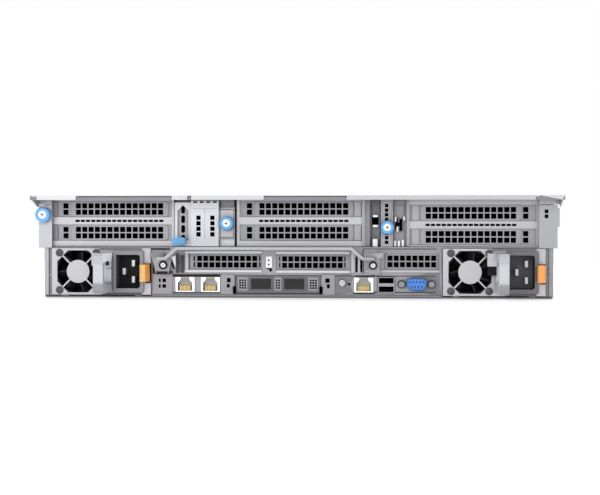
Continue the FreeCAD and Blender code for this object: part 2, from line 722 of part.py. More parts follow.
def column_screw():
    return (COLUMN_X + 14.8, BODY_HEIGHT - 26.8)


def column_plate(x0, y):
    """Upright vented plate left of the right riser, with the channel behind it."""
    edge = (COLUMN_X + 9.2, COLUMN_X + 19.5)
    z = (UPPER_Z, RISER_TOP)
    return [
        box(edge, (REAR + 1, REAR + 1 + SHEET), z),
        box((edge[1] - SHEET, edge[1]), (REAR + 1, y + 10), z),
        box((edge[1] - SHEET, x0 + SHEET), (y + 8.8, y + 10), z),
    ]


def column_vents(x0):
    low, high = UPPER_Z + 3.8, RISER_TOP - 5.4
    count = 9
    step = (high - low) / (count - 1)
    x = COLUMN_X + 14.2
    return [
        box((x - 1.4, x + 1.4), (REAR, REAR + 3), (low + i * step - 1.4, low + i * step + 1.4))
        for i in range(count) if abs(low + i * step - column_screw()[1]) > 4.2
    ]


def column_recess(x1, y):
    """Set-back panel right of the middle riser, with its catch opening and tab."""
    z = (UPPER_Z, RISER_TOP)
    panel = box((x1 - SHEET, x1 + 8.4), (y + 8.8, y + 10), z)
    opening = box((x1 + 1.6, x1 + 6.8), (y + 7, y + 12), (BODY_HEIGHT - 26.6, BODY_HEIGHT - 16.6))
    tab = box((x1 + 2.4, x1 + 6.6), (REAR + 3, y + 8.8), (UPPER_Z, UPPER_Z + 6.6))
    return [panel.cut(opening), tab]


def slot_covers():
    solids = []
    for name in ("left", "middle", "right"):
        x0, x1, drop, field, end = riser_layout()[name]
        for z in slot_heights(drop):
            solids.append(slot_cover(
                (x0 + 1.7, x1 - 1.7), z, REAR + RISER_SETBACK + SHEET + COVER_SHEET, field,
                VENT_COLUMNS, VENT_PITCH, [(end, VENT_SQUARE)], EMBOSS_LENGTH,
            ))
    back = REAR + PANEL_SETBACK + SHEET + COVER_SHEET
    for x, columns, raised, shift in low_slots():
        middle = (x[0] + x[1]) / 2 + shift
        solids.append(slot_cover(
            (x[0] - 1.5, x[1] + 1.5), LOW_SLOT_MIDDLE + raised, back, middle, columns,
            LOW_VENT_PITCH, [], columns * LOW_VENT_PITCH + 2,
        ))
    return Part.makeCompound(solids)


def low_slots():
    """Window's edges, vent columns, lift and the vents' shift of each low slot."""
    left = -MIDDLE_HALF
    return [
        ((left + 28.2, left + 94.2), 10, 0.0, 3.2),
        ((left + 106.4, left + 169.6), 10, -0.3, -0.6),
        ((left + 198.2, left + 244.9), 8, 0.5, 0.2),
    ]


def riser_boards():
    """Upright card in each riser with its two slot connectors."""
    solids = []
    for name in ("left", "middle", "right"):
        _, x1, drop, _, _ = riser_layout()[name]
        y = (REAR + 46, REAR + RISER_DEPTH - 20)
        card = box((x1 - SHEET - 1.8, x1 - SHEET), y, (UPPER_Z + SHEET, RISER_TOP - 8))
        solids.append(card)
        for z in slot_heights(drop):
            solids.append(box((x1 - 14.2, x1 - SHEET - 1.8), (y[0] + 12, y[0] + 101), (z - 3.7, z + 3.7)))
    return Part.makeCompound(solids)


# ---------------------------------------------------------------- boot drive module

def boot_module():
    """Cartridge with a vented face and a side wing behind a pointed-arch cut-out."""
    x = (BOOT_X + 14.7, BOOT_X + 38.7)
    top, low = LIP_LOW - RUN_GAP, STRAP_TOP + RUN_GAP
    wing_top = RISER_TOP - 2.6
    y = REAR + 1
    case = box(x, (y, y + 110), (low, top))
    hollow = box((x[0] + 1, x[1] - 1), (y + 1, y + 111), (low + 1, top - 1))
    middle = (x[0] + x[1]) / 2
    holes = [
        box((u - 1.85, u + 1.85), (y - 1, y + 2), (v - 1.85, v + 1.85))
        for u in (middle - 5.4, middle + 6.6) for v in grid(4, 4.7, BODY_HEIGHT - 25.8)
    ]
    holes += [
        box((u - 1.7, u + 1.7), (y - 1, y + 2), (top - 1.9, top - 0.5))
        for u in grid(4, 5.6, middle + 0.2)
    ]
    hollow_top = box((x[0] + 1, x[1] - 1), (y + 1, y + 111), (top - 2, top - 0.4))
    case = cut(case, [hollow, hollow_top] + holes)
    wing_x = (BOOT_X + 0.8, x[0])
    arch_x = (BOOT_X + 3.1, BOOT_X + 12.6)
    spring = wing_top - 7.2
    arch = [
        (arch_x[0], low + 5), (arch_x[1], low + 5), (arch_x[1], spring),
        ((arch_x[0] + arch_x[1]) / 2, spring + 5), (arch_x[0], spring),
    ]
    wing_middle = (wing_x[0] + wing_x[1]) / 2
    wing_height = wing_top - low
    outline = oblong("y", wing_middle, low + wing_height / 2, wing_x[1] - wing_x[0], wing_height)
    front = slab("y", y + 1, y + 1.8, outline, [polygon("y", arch)])
    slots = [
        clipped("y", BOOT_X + 7.7, v, 3.3, 6.4, 0.9) for v in grid(4, 8.3, BODY_HEIGHT - 24.2)
    ]
    back = slab("y", y + 2.6, y + 3.4, outline, slots)
    joint = box((wing_x[0], wing_x[0] + 0.8), (y + 1, y + 3.4), (low, wing_top))
    return fuse([case, front, back, joint])


def boot_pull_tab():
    """Pull tab on the wing's foot: a plate with a crosswise grip bar."""
    x = (BOOT_X - 0.3, BOOT_X + 11.1)
    z = (UPPER_Z + 1.2, UPPER_Z + 7.8)
    stem = box((x[0] + 2.6, x[1] - 1), (out(5), REAR + 2), (z[0] + 1.6, z[1] - 1.6))
    middle = ((x[0] + x[1]) / 2, (z[0] + z[1]) / 2)
    bar = slab("y", out(7.5), out(5), clipped("y", *middle, x[1] - x[0], z[1] - z[0], 1.2))
    return fuse([stem, bar])


def thumbscrew(x, z, seat, radius, reach):
    """Captive thumbscrew: toothed cap on its shaft."""
    teeth = 10
    rim = []
    for i in range(teeth * 2):
        r = radius if i % 2 else radius - 0.5
        angle = math.pi * i / teeth
        rim.append((x + r * math.cos(angle), z + r * math.sin(angle)))
    cap = slab("y", out(seat + 7.6), out(seat + 0.3), polygon("y", rim))
    shaft = rod("y", THUMB_SHAFT_R, out(seat + 0.3), out(seat - reach), x, z)
    return fuse([cap, shaft])


# ---------------------------------------------------------------- rear panel and ports

RJ45_X = (28.3, 50.1, 181.1)
USB_X = 200.2
VGA_X = 225.9
PORT_Z = BOARD_TOP + 6.6
VGA_Z = PORT_Z + 0.8
RJ45_MOUTH = (12.4, 10.2)
CAGE_MOUTH = (17.2, 9.0)
STRAP_SPAN = (24.0, 172.0)
RJ45_SHELL = (16.6, 12.6)
USB_SHELL = (14.4, 13.4)
VGA_FLANGE = (31.2, 12.4)
OCP_WINDOW = (72.2, 144.2)
ID_BUTTON = (162.9, 12.8)
ID_BUTTON_R = 2.8


def panel_x(offset):
    return -MIDDLE_HALF + offset


def io_panel():
    """Rear sheet between the power supplies, pierced for slots and ports."""
    y = (REAR + PANEL_SETBACK, REAR + PANEL_SETBACK + SHEET)
    holes = [
        oblong("y", (x[0] + x[1]) / 2, LOW_SLOT_MIDDLE + raised, x[1] - x[0], LOW_SLOT_WINDOW)
        for x, _, raised, _ in low_slots()
    ]
    gap = 0.6
    holes += [
        oblong("y", panel_x(u), PORT_Z, RJ45_SHELL[0] + gap, RJ45_SHELL[1] + gap) for u in RJ45_X
    ]
    holes.append(oblong("y", panel_x(USB_X), PORT_Z + 0.2, USB_SHELL[0] + gap, USB_SHELL[1] + gap))
    holes.append(d_outline(panel_x(VGA_X), VGA_Z, 17.6, 10.0))
    ocp_middle = panel_x(sum(OCP_WINDOW) / 2)
    holes.append(oblong("y", ocp_middle, 11.6, OCP_WINDOW[1] - OCP_WINDOW[0] + gap, 15.6))
    holes.append(ring("y", panel_x(ID_BUTTON[0]), ID_BUTTON[1], ID_BUTTON_R + 0.3))
    holes.append(oblong("y", panel_x(168.8), 11.9, 2.4, 1.8))
    height = SHELF_Z - FLOOR
    sheet = slab("y", y[0], y[1], oblong("y", 0, FLOOR + height / 2, 2 * MIDDLE_HALF, height), holes)
    plates = [
        port_plate(0.6, 17.4, [(6.5, 14.7, 1.6, 3), (6.5, 9.8, 1.6, 3), (10.4, 14.7, 3, 3), (10.4, 9.8, 3, 3)]),
        port_plate(58.9, 70.7, [(66.0, 15.0, 3.2, 3.6), (65.6, 10.2, 2.4, 3)]),
        port_plate(145.4, 156.6, [(150.4, 14.9, 3.6, 3.6), (151.1, 10.1, 2.4, 3.4)]),
    ]
    ridges = []
    for x, _, raised, _ in low_slots()[:2]:
        for z in (LOW_SLOT_MIDDLE + raised + 8.0, LOW_SLOT_MIDDLE + raised - 8.1):
            ridges.append(box(x, (y[0] - 1.2, y[0]), (z - 1.1, z + 1.1)))
    panel = fuse([sheet] + [plate for plate, _ in plates] + ridges)
    return cut(panel, [tool for _, tools in plates for tool in tools])


def port_plate(x0, x1, holes):
    """Raised plate on the panel's port row, and the cutters for its holes."""
    y = REAR + PANEL_SETBACK
    plate = box((panel_x(x0), panel_x(x1)), (y - 0.8, y), (FLOOR + 1.6, PORT_ROW_TOP - 0.6))
    tools = [
        box((panel_x(u) - w / 2, panel_x(u) + w / 2), (y - 2, y + 3), (v - h / 2, v + h / 2))
        for u, v, w, h in holes
    ]
    return plate, tools


def d_outline(x, z, width, height):
    """Outline of a D-shaped connector, its wide side up and its corners cut."""
    a, b, slant, c = width / 2, height / 2, height * 0.12, height * 0.2
    points = [
        (c - a, b), (a - c, b), (a, b - c), (a - slant, c - b), (a - slant - c, -b),
        (slant + c - a, -b), (slant - a, c - b), (-a, b - c),
    ]
    return polygon("y", [(x + u, z + v) for u, v in points])


def rear_ports():
    """Network and stacked USB sockets: folded shells with their inner bodies."""
    solids = []
    y = (REAR + 0.4, REAR + 21)
    for u in RJ45_X:
        x = panel_x(u)
        shell = slab("y", y[0], y[1], oblong("y", x, PORT_Z, *RJ45_SHELL))
        cavity = slab("y", y[0] - 1, y[0] + 14, oblong("y", x, PORT_Z - 0.2, *RJ45_MOUTH))
        solids.append(cut(shell, [cavity]))
    x = panel_x(USB_X)
    shell = slab("y", y[0] - 0.6, y[1] - 3, oblong("y", x, PORT_Z + 0.2, *USB_SHELL))
    mouths, tongues = [], []
    for z in (PORT_Z + 3.9, PORT_Z - 3.5):
        mouths.append(box((x - 6.2, x + 6.2), (y[0] - 2, y[0] + 13), (z - 2.3, z + 2.3)))
        tongues.append(box((x - 5.4, x + 5.4), (y[0] + 1, y[0] + 13), (z + 0.1, z + 1.5)))
    solids.append(fuse([cut(shell, mouths)] + tongues))
    return Part.makeCompound(solids)


def vga_port():
    """D-shaped video socket: body, shell, insulator and two hex posts."""
    x, z = panel_x(VGA_X), VGA_Z
    body = slab("y", REAR + PANEL_SETBACK + SHEET, REAR + 15, oblong("y", x, z, *VGA_FLANGE))
    outer = d_outline(x, z, 17.1, 9.5)
    inner = d_outline(x, z, 16.1, 8.5)
    shell = slab("y", out(5), REAR + PANEL_SETBACK + SHEET, outer, [inner])
    insulator = slab("y", out(4.4), REAR + PANEL_SETBACK + SHEET, inner)
    posts = []
    for side in (-1, 1):
        u = x + side * 12.6
        posts.append(slab("y", out(4.6), REAR + PANEL_SETBACK, ngon("y", u, z, 2.7, 6)))
    return Part.makeCompound([fuse([body, shell]), insulator] + posts)


def ocp_card():
    """Network card that slides out of the rear: faceplate, two cages and its board."""
    x = (panel_x(OCP_WINDOW[0]), panel_x(OCP_WINDOW[1]))
    z = (FLOOR + 2.9, FLOOR + 17.9)
    middle_z = FLOOR + 10.7
    cages = (x[0] + 21.4, x[0] + 49.8)
    holes = [oblong("y", u, middle_z, *CAGE_MOUTH) for u in cages]
    y = REAR + 0.4
    face = slab(
        "y", y, y + SHEET,
        oblong("y", (x[0] + x[1]) / 2, (z[0] + z[1]) / 2, x[1] - x[0], z[1] - z[0]), holes,
    )
    board = box((x[0] + 1, x[1] - 1), (y + SHEET, y + 115), (z[0] + 1.2, z[0] + 2.8))
    solids = [fuse([face, board])]
    for u in cages:
        solids.append(slab(
            "y", y + SHEET, y + 48, oblong("y", u, middle_z, CAGE_MOUTH[0] + 1.2, CAGE_MOUTH[1] + 1),
            [oblong("y", u, middle_z, *CAGE_MOUTH)],
        ))
    return Part.makeCompound(solids)


def id_button():
    x, z = panel_x(ID_BUTTON[0]), ID_BUTTON[1]
    return slab("y", out(1), REAR + 7, ngon("y", x, z, ID_BUTTON_R, 24))


def rear_strap():
    """Bent strap across the low slots, carried by a screwed foot at each end."""
    left, right = panel_x(STRAP_SPAN[0]), panel_x(STRAP_SPAN[1])
    top = STRAP_TOP
    thick, knee, drop = 2.4, 9.6, 8.4
    low = top - drop
    left_end, right_end = left - knee - 6.4, right + knee + 9.0
    outer = [
        (left_end, low), (left - knee, low), (left, top), (right, top), (right + knee, low),
        (right_end, low), (right_end, low - thick), (right + knee - 1.2, low - thick),
        (right - 1.2, top - thick), (left + 1.2, top - thick), (left - knee + 1.2, low - thick),
        (left_end, low - thick),
    ]
    band = slab("y", out(25), out(5), polygon("y", outer))
    feet = [
        slab("y", out(6.2), out(5), polygon("y", [
            (-122.5, low - 1), (-105.3, low - 1), (-108.7, low - 15.4), (-119.0, low - 15.4)])),
        box((-124.3, -112.1), (out(6.2), out(5)), (low - 1.6, low + 3.6)),
        box((-121.0, -106.5), (out(5.2), REAR + PANEL_SETBACK), (low - 1.2, low)),
        box((62.1, 71.5), (out(6.2), out(5)), (low - 14.6, low - 1)),
        box((57.6, 74.8), (out(6.2), out(5)), (low - 1.4, low + 3.1)),
        box((62.1, 71.5), (out(5.2), REAR + PANEL_SETBACK), (low - 1.2, low)),
    ]
    holes = [slab("y", out(7), out(4), ngon("y", u, low - 7.5, 2.1, 8)) for u in (-112.8, 65.8)]
    return cut(fuse([band] + feet), holes)


# ---------------------------------------------------------------- inside

def system_board():
    """T-shaped main board with its chips and sockets."""
    narrow, wide = MIDDLE_HALF - 1.2, INNER - 3.6
    step = REAR + PSU_LENGTH + 9
    outline = [
        (-narrow, REAR + 2.8), (narrow, REAR + 2.8), (narrow, step), (wide, step), (wide, BOARD_FRONT),
        (-wide, BOARD_FRONT), (-wide, step), (-narrow, step),
    ]
    solids = [slab("z", BOARD_BOTTOM, BOARD_TOP, polygon("z", outline))]
    for x in (-SINK_X, SINK_X):
        solids.append(box((x - 38, x + 38), (sink_y() - 28, sink_y() + 28), (BOARD_TOP, BOARD_TOP + 6)))
        for y in (sink_y() + 62, sink_y() - 66):
            solids.append(box((x - 34, x + 34), (y - 4, y + 4), (BOARD_TOP, BOARD_TOP + 7)))
    solids.append(box((-18, 18), (REAR + 150, REAR + 186), (BOARD_TOP, BOARD_TOP + 8)))
    solids.append(box((60, 78), (REAR + 60, REAR + 78), (BOARD_TOP, BOARD_TOP + 2)))
    return Part.makeCompound(solids)


def sink_y():
    return BOARD_FRONT - 96


def heatsinks():
    """Finned block over each processor, drawn as a comb and pulled along the airflow."""
    wide, long, tall = SINK_SIZE
    base = BOARD_TOP + 6
    fin, foot = 1.0, 6.0
    pitch = (wide - fin) / (FIN_COUNT - 1)
    solids = []
    for x in (-SINK_X, SINK_X):
        left = x - wide / 2
        comb = [(left, base), (left + wide, base)]
        for i in reversed(range(FIN_COUNT)):
            u = left + i * pitch
            comb += [(u + fin, base + foot), (u + fin, base + tall), (u, base + tall), (u, base + foot)]
        comb = [p for n, p in enumerate(comb) if n not in (2, len(comb) - 1)]
        solids.append(slab("y", sink_y() - long / 2, sink_y() + long / 2, polygon("y", comb)))
    return Part.makeCompound(solids)


def memory_modules():
    """Sockets beside the processors with a module standing in each."""
    solids = []
    y = sink_y()
    for x in (-SINK_X, SINK_X):
        for side in (-1, 1):
            for i in range(MODULES_PER_BANK):
                u = x + side * (SINK_SIZE[0] / 2 + 7 + i * MODULE_PITCH)
                solids.append(box((u - 3.2, u + 3.2), (y - 71, y + 71), (BOARD_TOP, BOARD_TOP + 8)))
                half = MODULE_LENGTH / 2
                solids.append(box(
                    (u - 0.7, u + 0.7), (y - half, y + half),
                    (BOARD_TOP + 8, BOARD_TOP + 8 + MODULE_HEIGHT),
                ))
    return Part.makeCompound(solids)


def air_baffle():
    """Shroud over processors and memory: sloping shoulders and a lowered middle."""
    top = BOARD_TOP + 6 + SINK_SIZE[2] + 1.5
    t = 1.4
    reach = INNER - 10
    outer = [(-reach, BOARD_TOP), (-reach, 46), (-reach + 22, top), (-18, top), (-12, top - 9), (12, top - 9)]
    outer += [(18, top), (reach - 22, top), (reach, 46), (reach, BOARD_TOP)]
    inner = [(reach - t, BOARD_TOP), (reach - t, 46 - 0.6), (reach - 22.6, top - t), (18.6, top - t)]
    inner += [(12.6, top - 9 - t), (-12.6, top - 9 - t), (-18.6, top - t), (-reach + 22.6, top - t)]
    inner += [(-reach + t, 46 - 0.6), (-reach + t, BOARD_TOP)]
    return slab("y", sink_y() - 78, sink_y() + 78, polygon("y", outer + inner))


FAN_Y = BOARD_FRONT + 24


def fan_tray():
    """Tray with one square frame per fan, each with struts and a motor plate."""
    z = FLOOR + 1.6 + FAN_SIZE / 2
    y = (FAN_Y, FAN_Y + FAN_DEPTH)
    reach = INNER - 0.9
    pieces = [box((-reach, reach), y, (FLOOR, FLOOR + 1.6))]
    for x in grid(FAN_COUNT, FAN_PITCH):
        pieces.append(slab(
            "y", y[0], y[1], oblong("y", x, z, FAN_SIZE, FAN_SIZE), [ring("y", x, z, FAN_BORE_R)]))
        for turn in (45, 135):
            strut = box((-FAN_BORE_R - 1, FAN_BORE_R + 1), (y[0], y[0] + 2), (-1.6, 1.6))
            strut.rotate(Vector(0, 0, 0), Vector(0, 1, 0), turn)
            strut.translate(Vector(x, 0, z))
            pieces.append(strut)
        pieces.append(slab("y", y[0], y[0] + 2, ngon("y", x, z, FAN_HUB_R, 12)))
    for x in grid(FAN_COUNT - 1, FAN_PITCH):
        pieces.append(box((x - 1, x + 1), y, (FLOOR + 1.6, FLOOR + 1.6 + FAN_SIZE)))
    return fuse(pieces)


def fan_wheel(x):
    depth = FAN_DEPTH - 8
    middle = FAN_Y + 2 + RUN_GAP + depth / 2
    return fan_rotor(
        x, FLOOR + 1.6 + FAN_SIZE / 2, middle, depth, FAN_HUB_R, FAN_BORE_R - 0.8, 6)


def backplane():
    """Upright board behind the drive cage with a socket for each bay."""
    y = CAGE_BACK - 10
    vents = [oblong("y", u, row_middle(0) + ROW_PITCH / 2, 60, 10) for u in grid(BAY_COLUMNS, BAY_PITCH)]
    low, high = FLOOR, WALL_TOP - 8
    reach = INNER - 4
    plate = slab("y", y - 2, y, oblong("y", 0, (low + high) / 2, 2 * reach, high - low), vents)
    sockets = [
        box((u - 30, u + 12), (y, y + 8.6), (row_middle(r) - 4, row_middle(r) + 1))
        for u in grid(BAY_COLUMNS, BAY_PITCH) for r in (0, 1)
    ]
    return fuse([plate] + sockets)


# ---------------------------------------------------------------- front end

def row_middle(row):
    return FLOOR + 1.4 + BAY_WINDOW[1] / 2 + row * ROW_PITCH


def drive_cage():
    """Egg-crate of bays under the fixed front cover."""
    reach = INNER - 0.9
    windows = [
        oblong("y", u, row_middle(r), *BAY_WINDOW)
        for u in grid(BAY_COLUMNS, BAY_PITCH) for r in (0, 1)
    ]
    top_low = row_middle(2) - BAY_WINDOW[1] / 2
    top_high = COVER_UNDER - 1.6
    windows.append(oblong("y", 0, (top_low + top_high) / 2, BAY_PITCH * BAY_COLUMNS - 1, top_high - top_low))
    low = FLOOR + 0.1
    crate = slab(
        "y", CAGE_BACK, FRONT - 2,
        oblong("y", 0, (low + COVER_UNDER) / 2, 2 * reach, COVER_UNDER - low), windows,
    )
    skirt_out = HALF + RUN_GAP + SKIRT_SHEET
    lid = box((-skirt_out, skirt_out), (COVER_FRONT + 1.2, FRONT - 2), (COVER_UNDER, BODY_HEIGHT))
    skirts = []
    for side in (-1, 1):
        skirt_x = sorted((side * (HALF + RUN_GAP), side * skirt_out))
        skirts.append(box(skirt_x, (COVER_FRONT + 1.2, EAR_Y - 56), (COVER_UNDER - SKIRT_DROP, COVER_UNDER)))
    seam = box((-reach, reach), (CAGE_BACK, CAGE_BACK + 6), (COVER_UNDER - 1.6, COVER_UNDER))
    return fuse([crate, lid, seam] + skirts)


def front_panel():
    """Fascia over the bays: vent slots, two USB mouths and a blank media door."""
    low = row_middle(2) - BAY_WINDOW[1] / 2 + 0.3
    high = COVER_UNDER - 1.9
    middle = (low + high) / 2
    half = BAY_PITCH * BAY_COLUMNS / 2 - 0.8
    holes = [
        oblong("y", u, middle, 6.0, high - low - 9) for u in grid(12, 11.0, 96)
    ]
    holes += [oblong("y", u, middle, 12.6, 5.2) for u in (-180.0, -160.0)]
    plate = slab("y", FRONT - 4, FRONT - 1, oblong("y", 0, middle, 2 * half, high - low), holes)
    door = slab("y", FRONT - 1, FRONT - 0.2, clipped("y", -60, middle, 128, high - low - 8, 2))
    box_back = slab(
        "y", FRONT - 18, FRONT - 4, oblong("y", -170, middle, 42, 11),
        [oblong("y", u, middle, 12.6, 5.2) for u in (-180.0, -160.0)],
    )
    tongues = [
        box((u - 5.6, u + 5.6), (FRONT - 18, FRONT - 5), (middle + 0.2, middle + 1.8))
        for u in (-180.0, -160.0)
    ]
    bridge = box((-190.0, -150.0), (FRONT - 18, FRONT - 17), (middle - 5, middle + 5))
    return fuse([plate, door, box_back, bridge] + tongues)


def bay_centre(column, row):
    return (grid(BAY_COLUMNS, BAY_PITCH)[column], row_middle(row))


def drive(column):
    """Carrier with its grille face and side rails, holding a 3.5 inch disk."""
    x, z = bay_centre(column, 0)
    wide, tall = BAY_WINDOW[0] - 0.8, BAY_WINDOW[1] - 0.8
    y = (FRONT - BEZEL_DEPTH, FRONT - 0.4)
    bezel = slab("y", y[0], y[1], clipped("y", x, z, wide, tall, 1.0))
    pocket = box((x - 24, x + 50), (y[1] - 8, y[1] + 1), (z - 9.5, z + 9.5))
    vents = [
        box((u - 1.8, u + 1.8), (y[0] - 1, y[1] + 1), (z - 9, z + 9)) for u in grid(3, 7.0, x - 39)
    ]
    vents += [box((u - 9, u + 9), (y[0] - 1, y[1]), (z - 7, z + 7)) for u in grid(2, 24.0, x + 8)]
    bezel = cut(bezel, [pocket] + vents)
    lugs = [box((x + 42, x + 48), (y[1] - 8.2, y[1] - 1), (v - 0.5, v + 0.5)) for v in (z - 9, z + 9)]
    pin = rod("z", 1.25, z - 9.6, z + 9.6, *lever_pin(x))
    rails = [
        box(sorted((x + s * wide / 2, x + s * (DISK_SIZE[0] / 2 + 0.05))), (y[0] - 149, y[0]), (z - 8, z + 8))
        for s in (-1, 1)
    ]
    disk = box(
        (x - DISK_SIZE[0] / 2, x + DISK_SIZE[0] / 2), (y[0] - 2 - DISK_SIZE[1], y[0] - 2),
        (z - DISK_SIZE[2] / 2, z + DISK_SIZE[2] / 2),
    )
    return Part.makeCompound([fuse([bezel, pin] + rails + lugs), disk])


def lever_pin(x):
    return (x + 45, FRONT - 4.6)


def drive_lever(column):
    """Swing-out release lever: pivot eye, ribbed arm and finger end."""
    x, z = bay_centre(column, 0)
    u, y = lever_pin(x)
    arm = [
        (u - 1.4, y - 2.3), (u + 1.4, y - 2.3), (u + 2.4, y), (u + 1, FRONT - 0.4),
        (u - LEVER_LENGTH + 3, FRONT - 0.4),
        (u - LEVER_LENGTH, FRONT - 1.6), (u - LEVER_LENGTH, FRONT - 6), (u - LEVER_LENGTH + 2, FRONT - 6),
        (u - LEVER_LENGTH + 4, FRONT - 3), (u - 6, FRONT - 3),
    ]
    height = (z - 8.2, z + 8.2)
    plate = slab("z", height[0], height[1], polygon("z", arm), [ring("z", u, y, 1.25 + PIN_PLAY)])
    windows = [
        box((v - 8, v + 8), (FRONT - 8, FRONT + 1), (z - 4.5, z + 4.5)) for v in grid(2, 22.0, u - 31)
    ]
    return cut(plate, windows)


def bay_blanks():
    """Blank fillers for the empty upper bays: slotted face and short side walls."""
    solids = []
    for column in range(BAY_COLUMNS):
        x, z = bay_centre(column, 1)
        wide, tall = BAY_WINDOW[0] - 0.8, BAY_WINDOW[1] - 0.8
        slots = [oblong("y", u, z, 6.0, 15) for u in grid(5, 15.0, x)]
        face = slab("y", FRONT - 3, FRONT - 0.4, clipped("y", x, z, wide, tall, 1.0), slots)
        walls = [
            box(sorted((x + s * wide / 2, x + s * (wide / 2 - 1.5))), (FRONT - 60, FRONT - 3), (z - 10, z + 10))
            for s in (-1, 1)
        ]
        solids.append(fuse([face] + walls))
    return Part.makeCompound(solids)


EAR_CAP_Z = (15.0, BODY_HEIGHT - 15.0)


def rack_ears():
    """Pair of rack ears: slotted flange, side leg and the moulded cap in front."""
    solids = []
    for side in (-1, 1):
        inner, tip = side * HALF, side * (HALF + EAR_REACH)
        z = (1.0, BODY_HEIGHT - 1.0)
        slots = [
            rounded("y", side * (HALF + EAR_HOLE_REACH), v, EAR_SLOT[0], EAR_SLOT[1], EAR_SLOT[1] / 2 - 0.01)
            for v in (BODY_HEIGHT / 2 - EAR_HOLE_RISE / 2, BODY_HEIGHT / 2 + EAR_HOLE_RISE / 2)
        ]
        flange = slab(
            "y", EAR_Y, EAR_Y + EAR_SHEET,
            clipped("y", (inner + tip) / 2, BODY_HEIGHT / 2, abs(tip - inner), z[1] - z[0], 1.5), slots,
        )
        leg = box(sorted((inner, inner + side * EAR_SHEET)), (EAR_Y - 50, FRONT - 8), (z[0] + 3, z[1] - 14))
        cap_x = sorted((inner + side * EAR_SHEET, tip - side * 0.6))
        cap = box(cap_x, (EAR_Y + EAR_SHEET, FRONT - 7), EAR_CAP_Z)
        lug_x = ear_pivot(side)[0]
        lugs = [
            box(sorted((lug_x - side * 2.4, lug_x + side * 2.4)), (FRONT - 7.2, FRONT - 1), (v - 1, v + 1))
            for v in (EAR_CAP_Z[0] + 1, ear_latch_top() + 1.4)
        ]
        pin = rod("z", 1.25, EAR_CAP_Z[0] + 1, ear_latch_top() + 1.4, *ear_pivot(side))
        cap = fuse([cap, pin] + lugs)
        if side < 0:
            x, z_button = power_button_place()
            well = rod("y", 4.3, FRONT - 12, FRONT, x, z_button)
            cap = cut(cap, [well])
        solids.append(fuse([flange, leg]))
        solids.append(cap)
    return Part.makeCompound(solids)


def ear_latch_top():
    return EAR_CAP_Z[1] - 17


def ear_pivot(side):
    return (side * (HALF + 5.4), FRONT - 3.8)


def ear_latch(side):
    """Flip latch on the front of a rack ear."""
    u, y = ear_pivot(side)
    tip = side * (HALF + EAR_REACH - 1)
    points = [
        (u + side * 1.4, y - 2.4), (u - side * 1.4, y - 2.4), (u - side * 2.4, y),
        (u - side * 1.6, FRONT - 0.6), (tip - side * 2, FRONT - 0.6),
        (tip, FRONT - 2.4), (tip, FRONT - 5), (tip - side * 2, FRONT - 5), (tip - side * 4, FRONT - 3.4),
        (u + side * 3, FRONT - 3.4),
    ]
    z = (EAR_CAP_Z[0] + 2.3, ear_latch_top() + 0.1)
    return slab("z", z[0], z[1], polygon("z", points), [ring("z", u, y, 1.25 + PIN_PLAY)])


def power_button_place():
    return (-HALF - 12.5, EAR_CAP_Z[1] - 8)


def power_button():
    x, z = power_button_place()
    return slab("y", FRONT - 10.4, FRONT - 5.6, ngon("y", x, z, 4.0, 24))


# ---------------------------------------------------------------- assembly

def build():
    nodes = {
        "chassis_pan": chassis_pan(),
        "rear_header": rear_header(),
        "corner_bracket_left": corner_bracket(-1),
        "corner_bracket_right": corner_bracket(1),
        "main_cover": main_cover(),
        "cover_latch": cover_latch(),
        "power_bay_frame": power_bay_frame(),
        "io_panel": io_panel(),
        "rear_strap": rear_strap(),
        "slot_covers": slot_covers(),
        "riser_boards": riser_boards(),
        "rear_ports": rear_ports(),
        "vga_port": vga_port(),
        "ocp_card": ocp_card(),
        "id_button": id_button(),
        "boot_module": boot_module(),
        "boot_pull_tab": boot_pull_tab(),
        "thumbscrew_corner": thumbscrew(*CORNER_SCREW, SHEET, 6.4, 9),
        "thumbscrew_boot": thumbscrew(*boot_screw(), -1.5, 6.0, 5),
        "thumbscrew_column": thumbscrew(*column_screw(), -1, 5.7, 5),
        "system_board": system_board(),
        "heatsinks": heatsinks(),
        "memory_modules": memory_modules(),
        "air_baffle": air_baffle(),
        "fan_tray": fan_tray(),
        "backplane": backplane(),
        "drive_cage": drive_cage(),
        "front_panel": front_panel(),
        "bay_blanks": bay_blanks(),
        "rack_ears": rack_ears(),
        "ear_latch_left": ear_latch(-1),
        "ear_latch_right": ear_latch(1),
        "power_button": power_button(),
    }
    for name in ("left", "middle", "right"):
        nodes["riser_cage_" + name] = riser_cage(name)
    for number, x in ((1, PSU_LEFT_X), (2, PSU_RIGHT_X)):
        prefix = "psu_%d_" % number
        nodes[prefix + "case"] = psu_case(x)
        nodes[prefix + "handle"] = psu_handle(x)
        nodes[prefix + "inlet"] = psu_inlet(x)
        nodes[prefix + "latch"] = psu_latch(x)
        nodes[prefix + "rotor"] = psu_rotor(x)
    for number, x in enumerate(grid(FAN_COUNT, FAN_PITCH), 1):
        nodes["fan_rotor_%d" % number] = fan_wheel(x)
    for number in range(1, BAY_COLUMNS + 1):
        nodes["drive_%d" % number] = drive(number - 1)
        nodes["drive_lever_%d" % number] = drive_lever(number - 1)
    return nodes


os.makedirs("parts", exist_ok=True)
for node, shape in build().items():
    if not shape.isValid():
        print("not valid:", node)
    shape.exportStep("parts/%s.step" % node)
    print(node, len(shape.Solids), round(shape.Volume / 1000, 2))
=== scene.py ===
"""Looks of a 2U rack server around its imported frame.

Sizes are millimetres; only Blender's own calls see metres.
"""
import logging
import math
from collections.abc import Callable, Sequence
from dataclasses import dataclass, field
from enum import Enum
from functools import partial

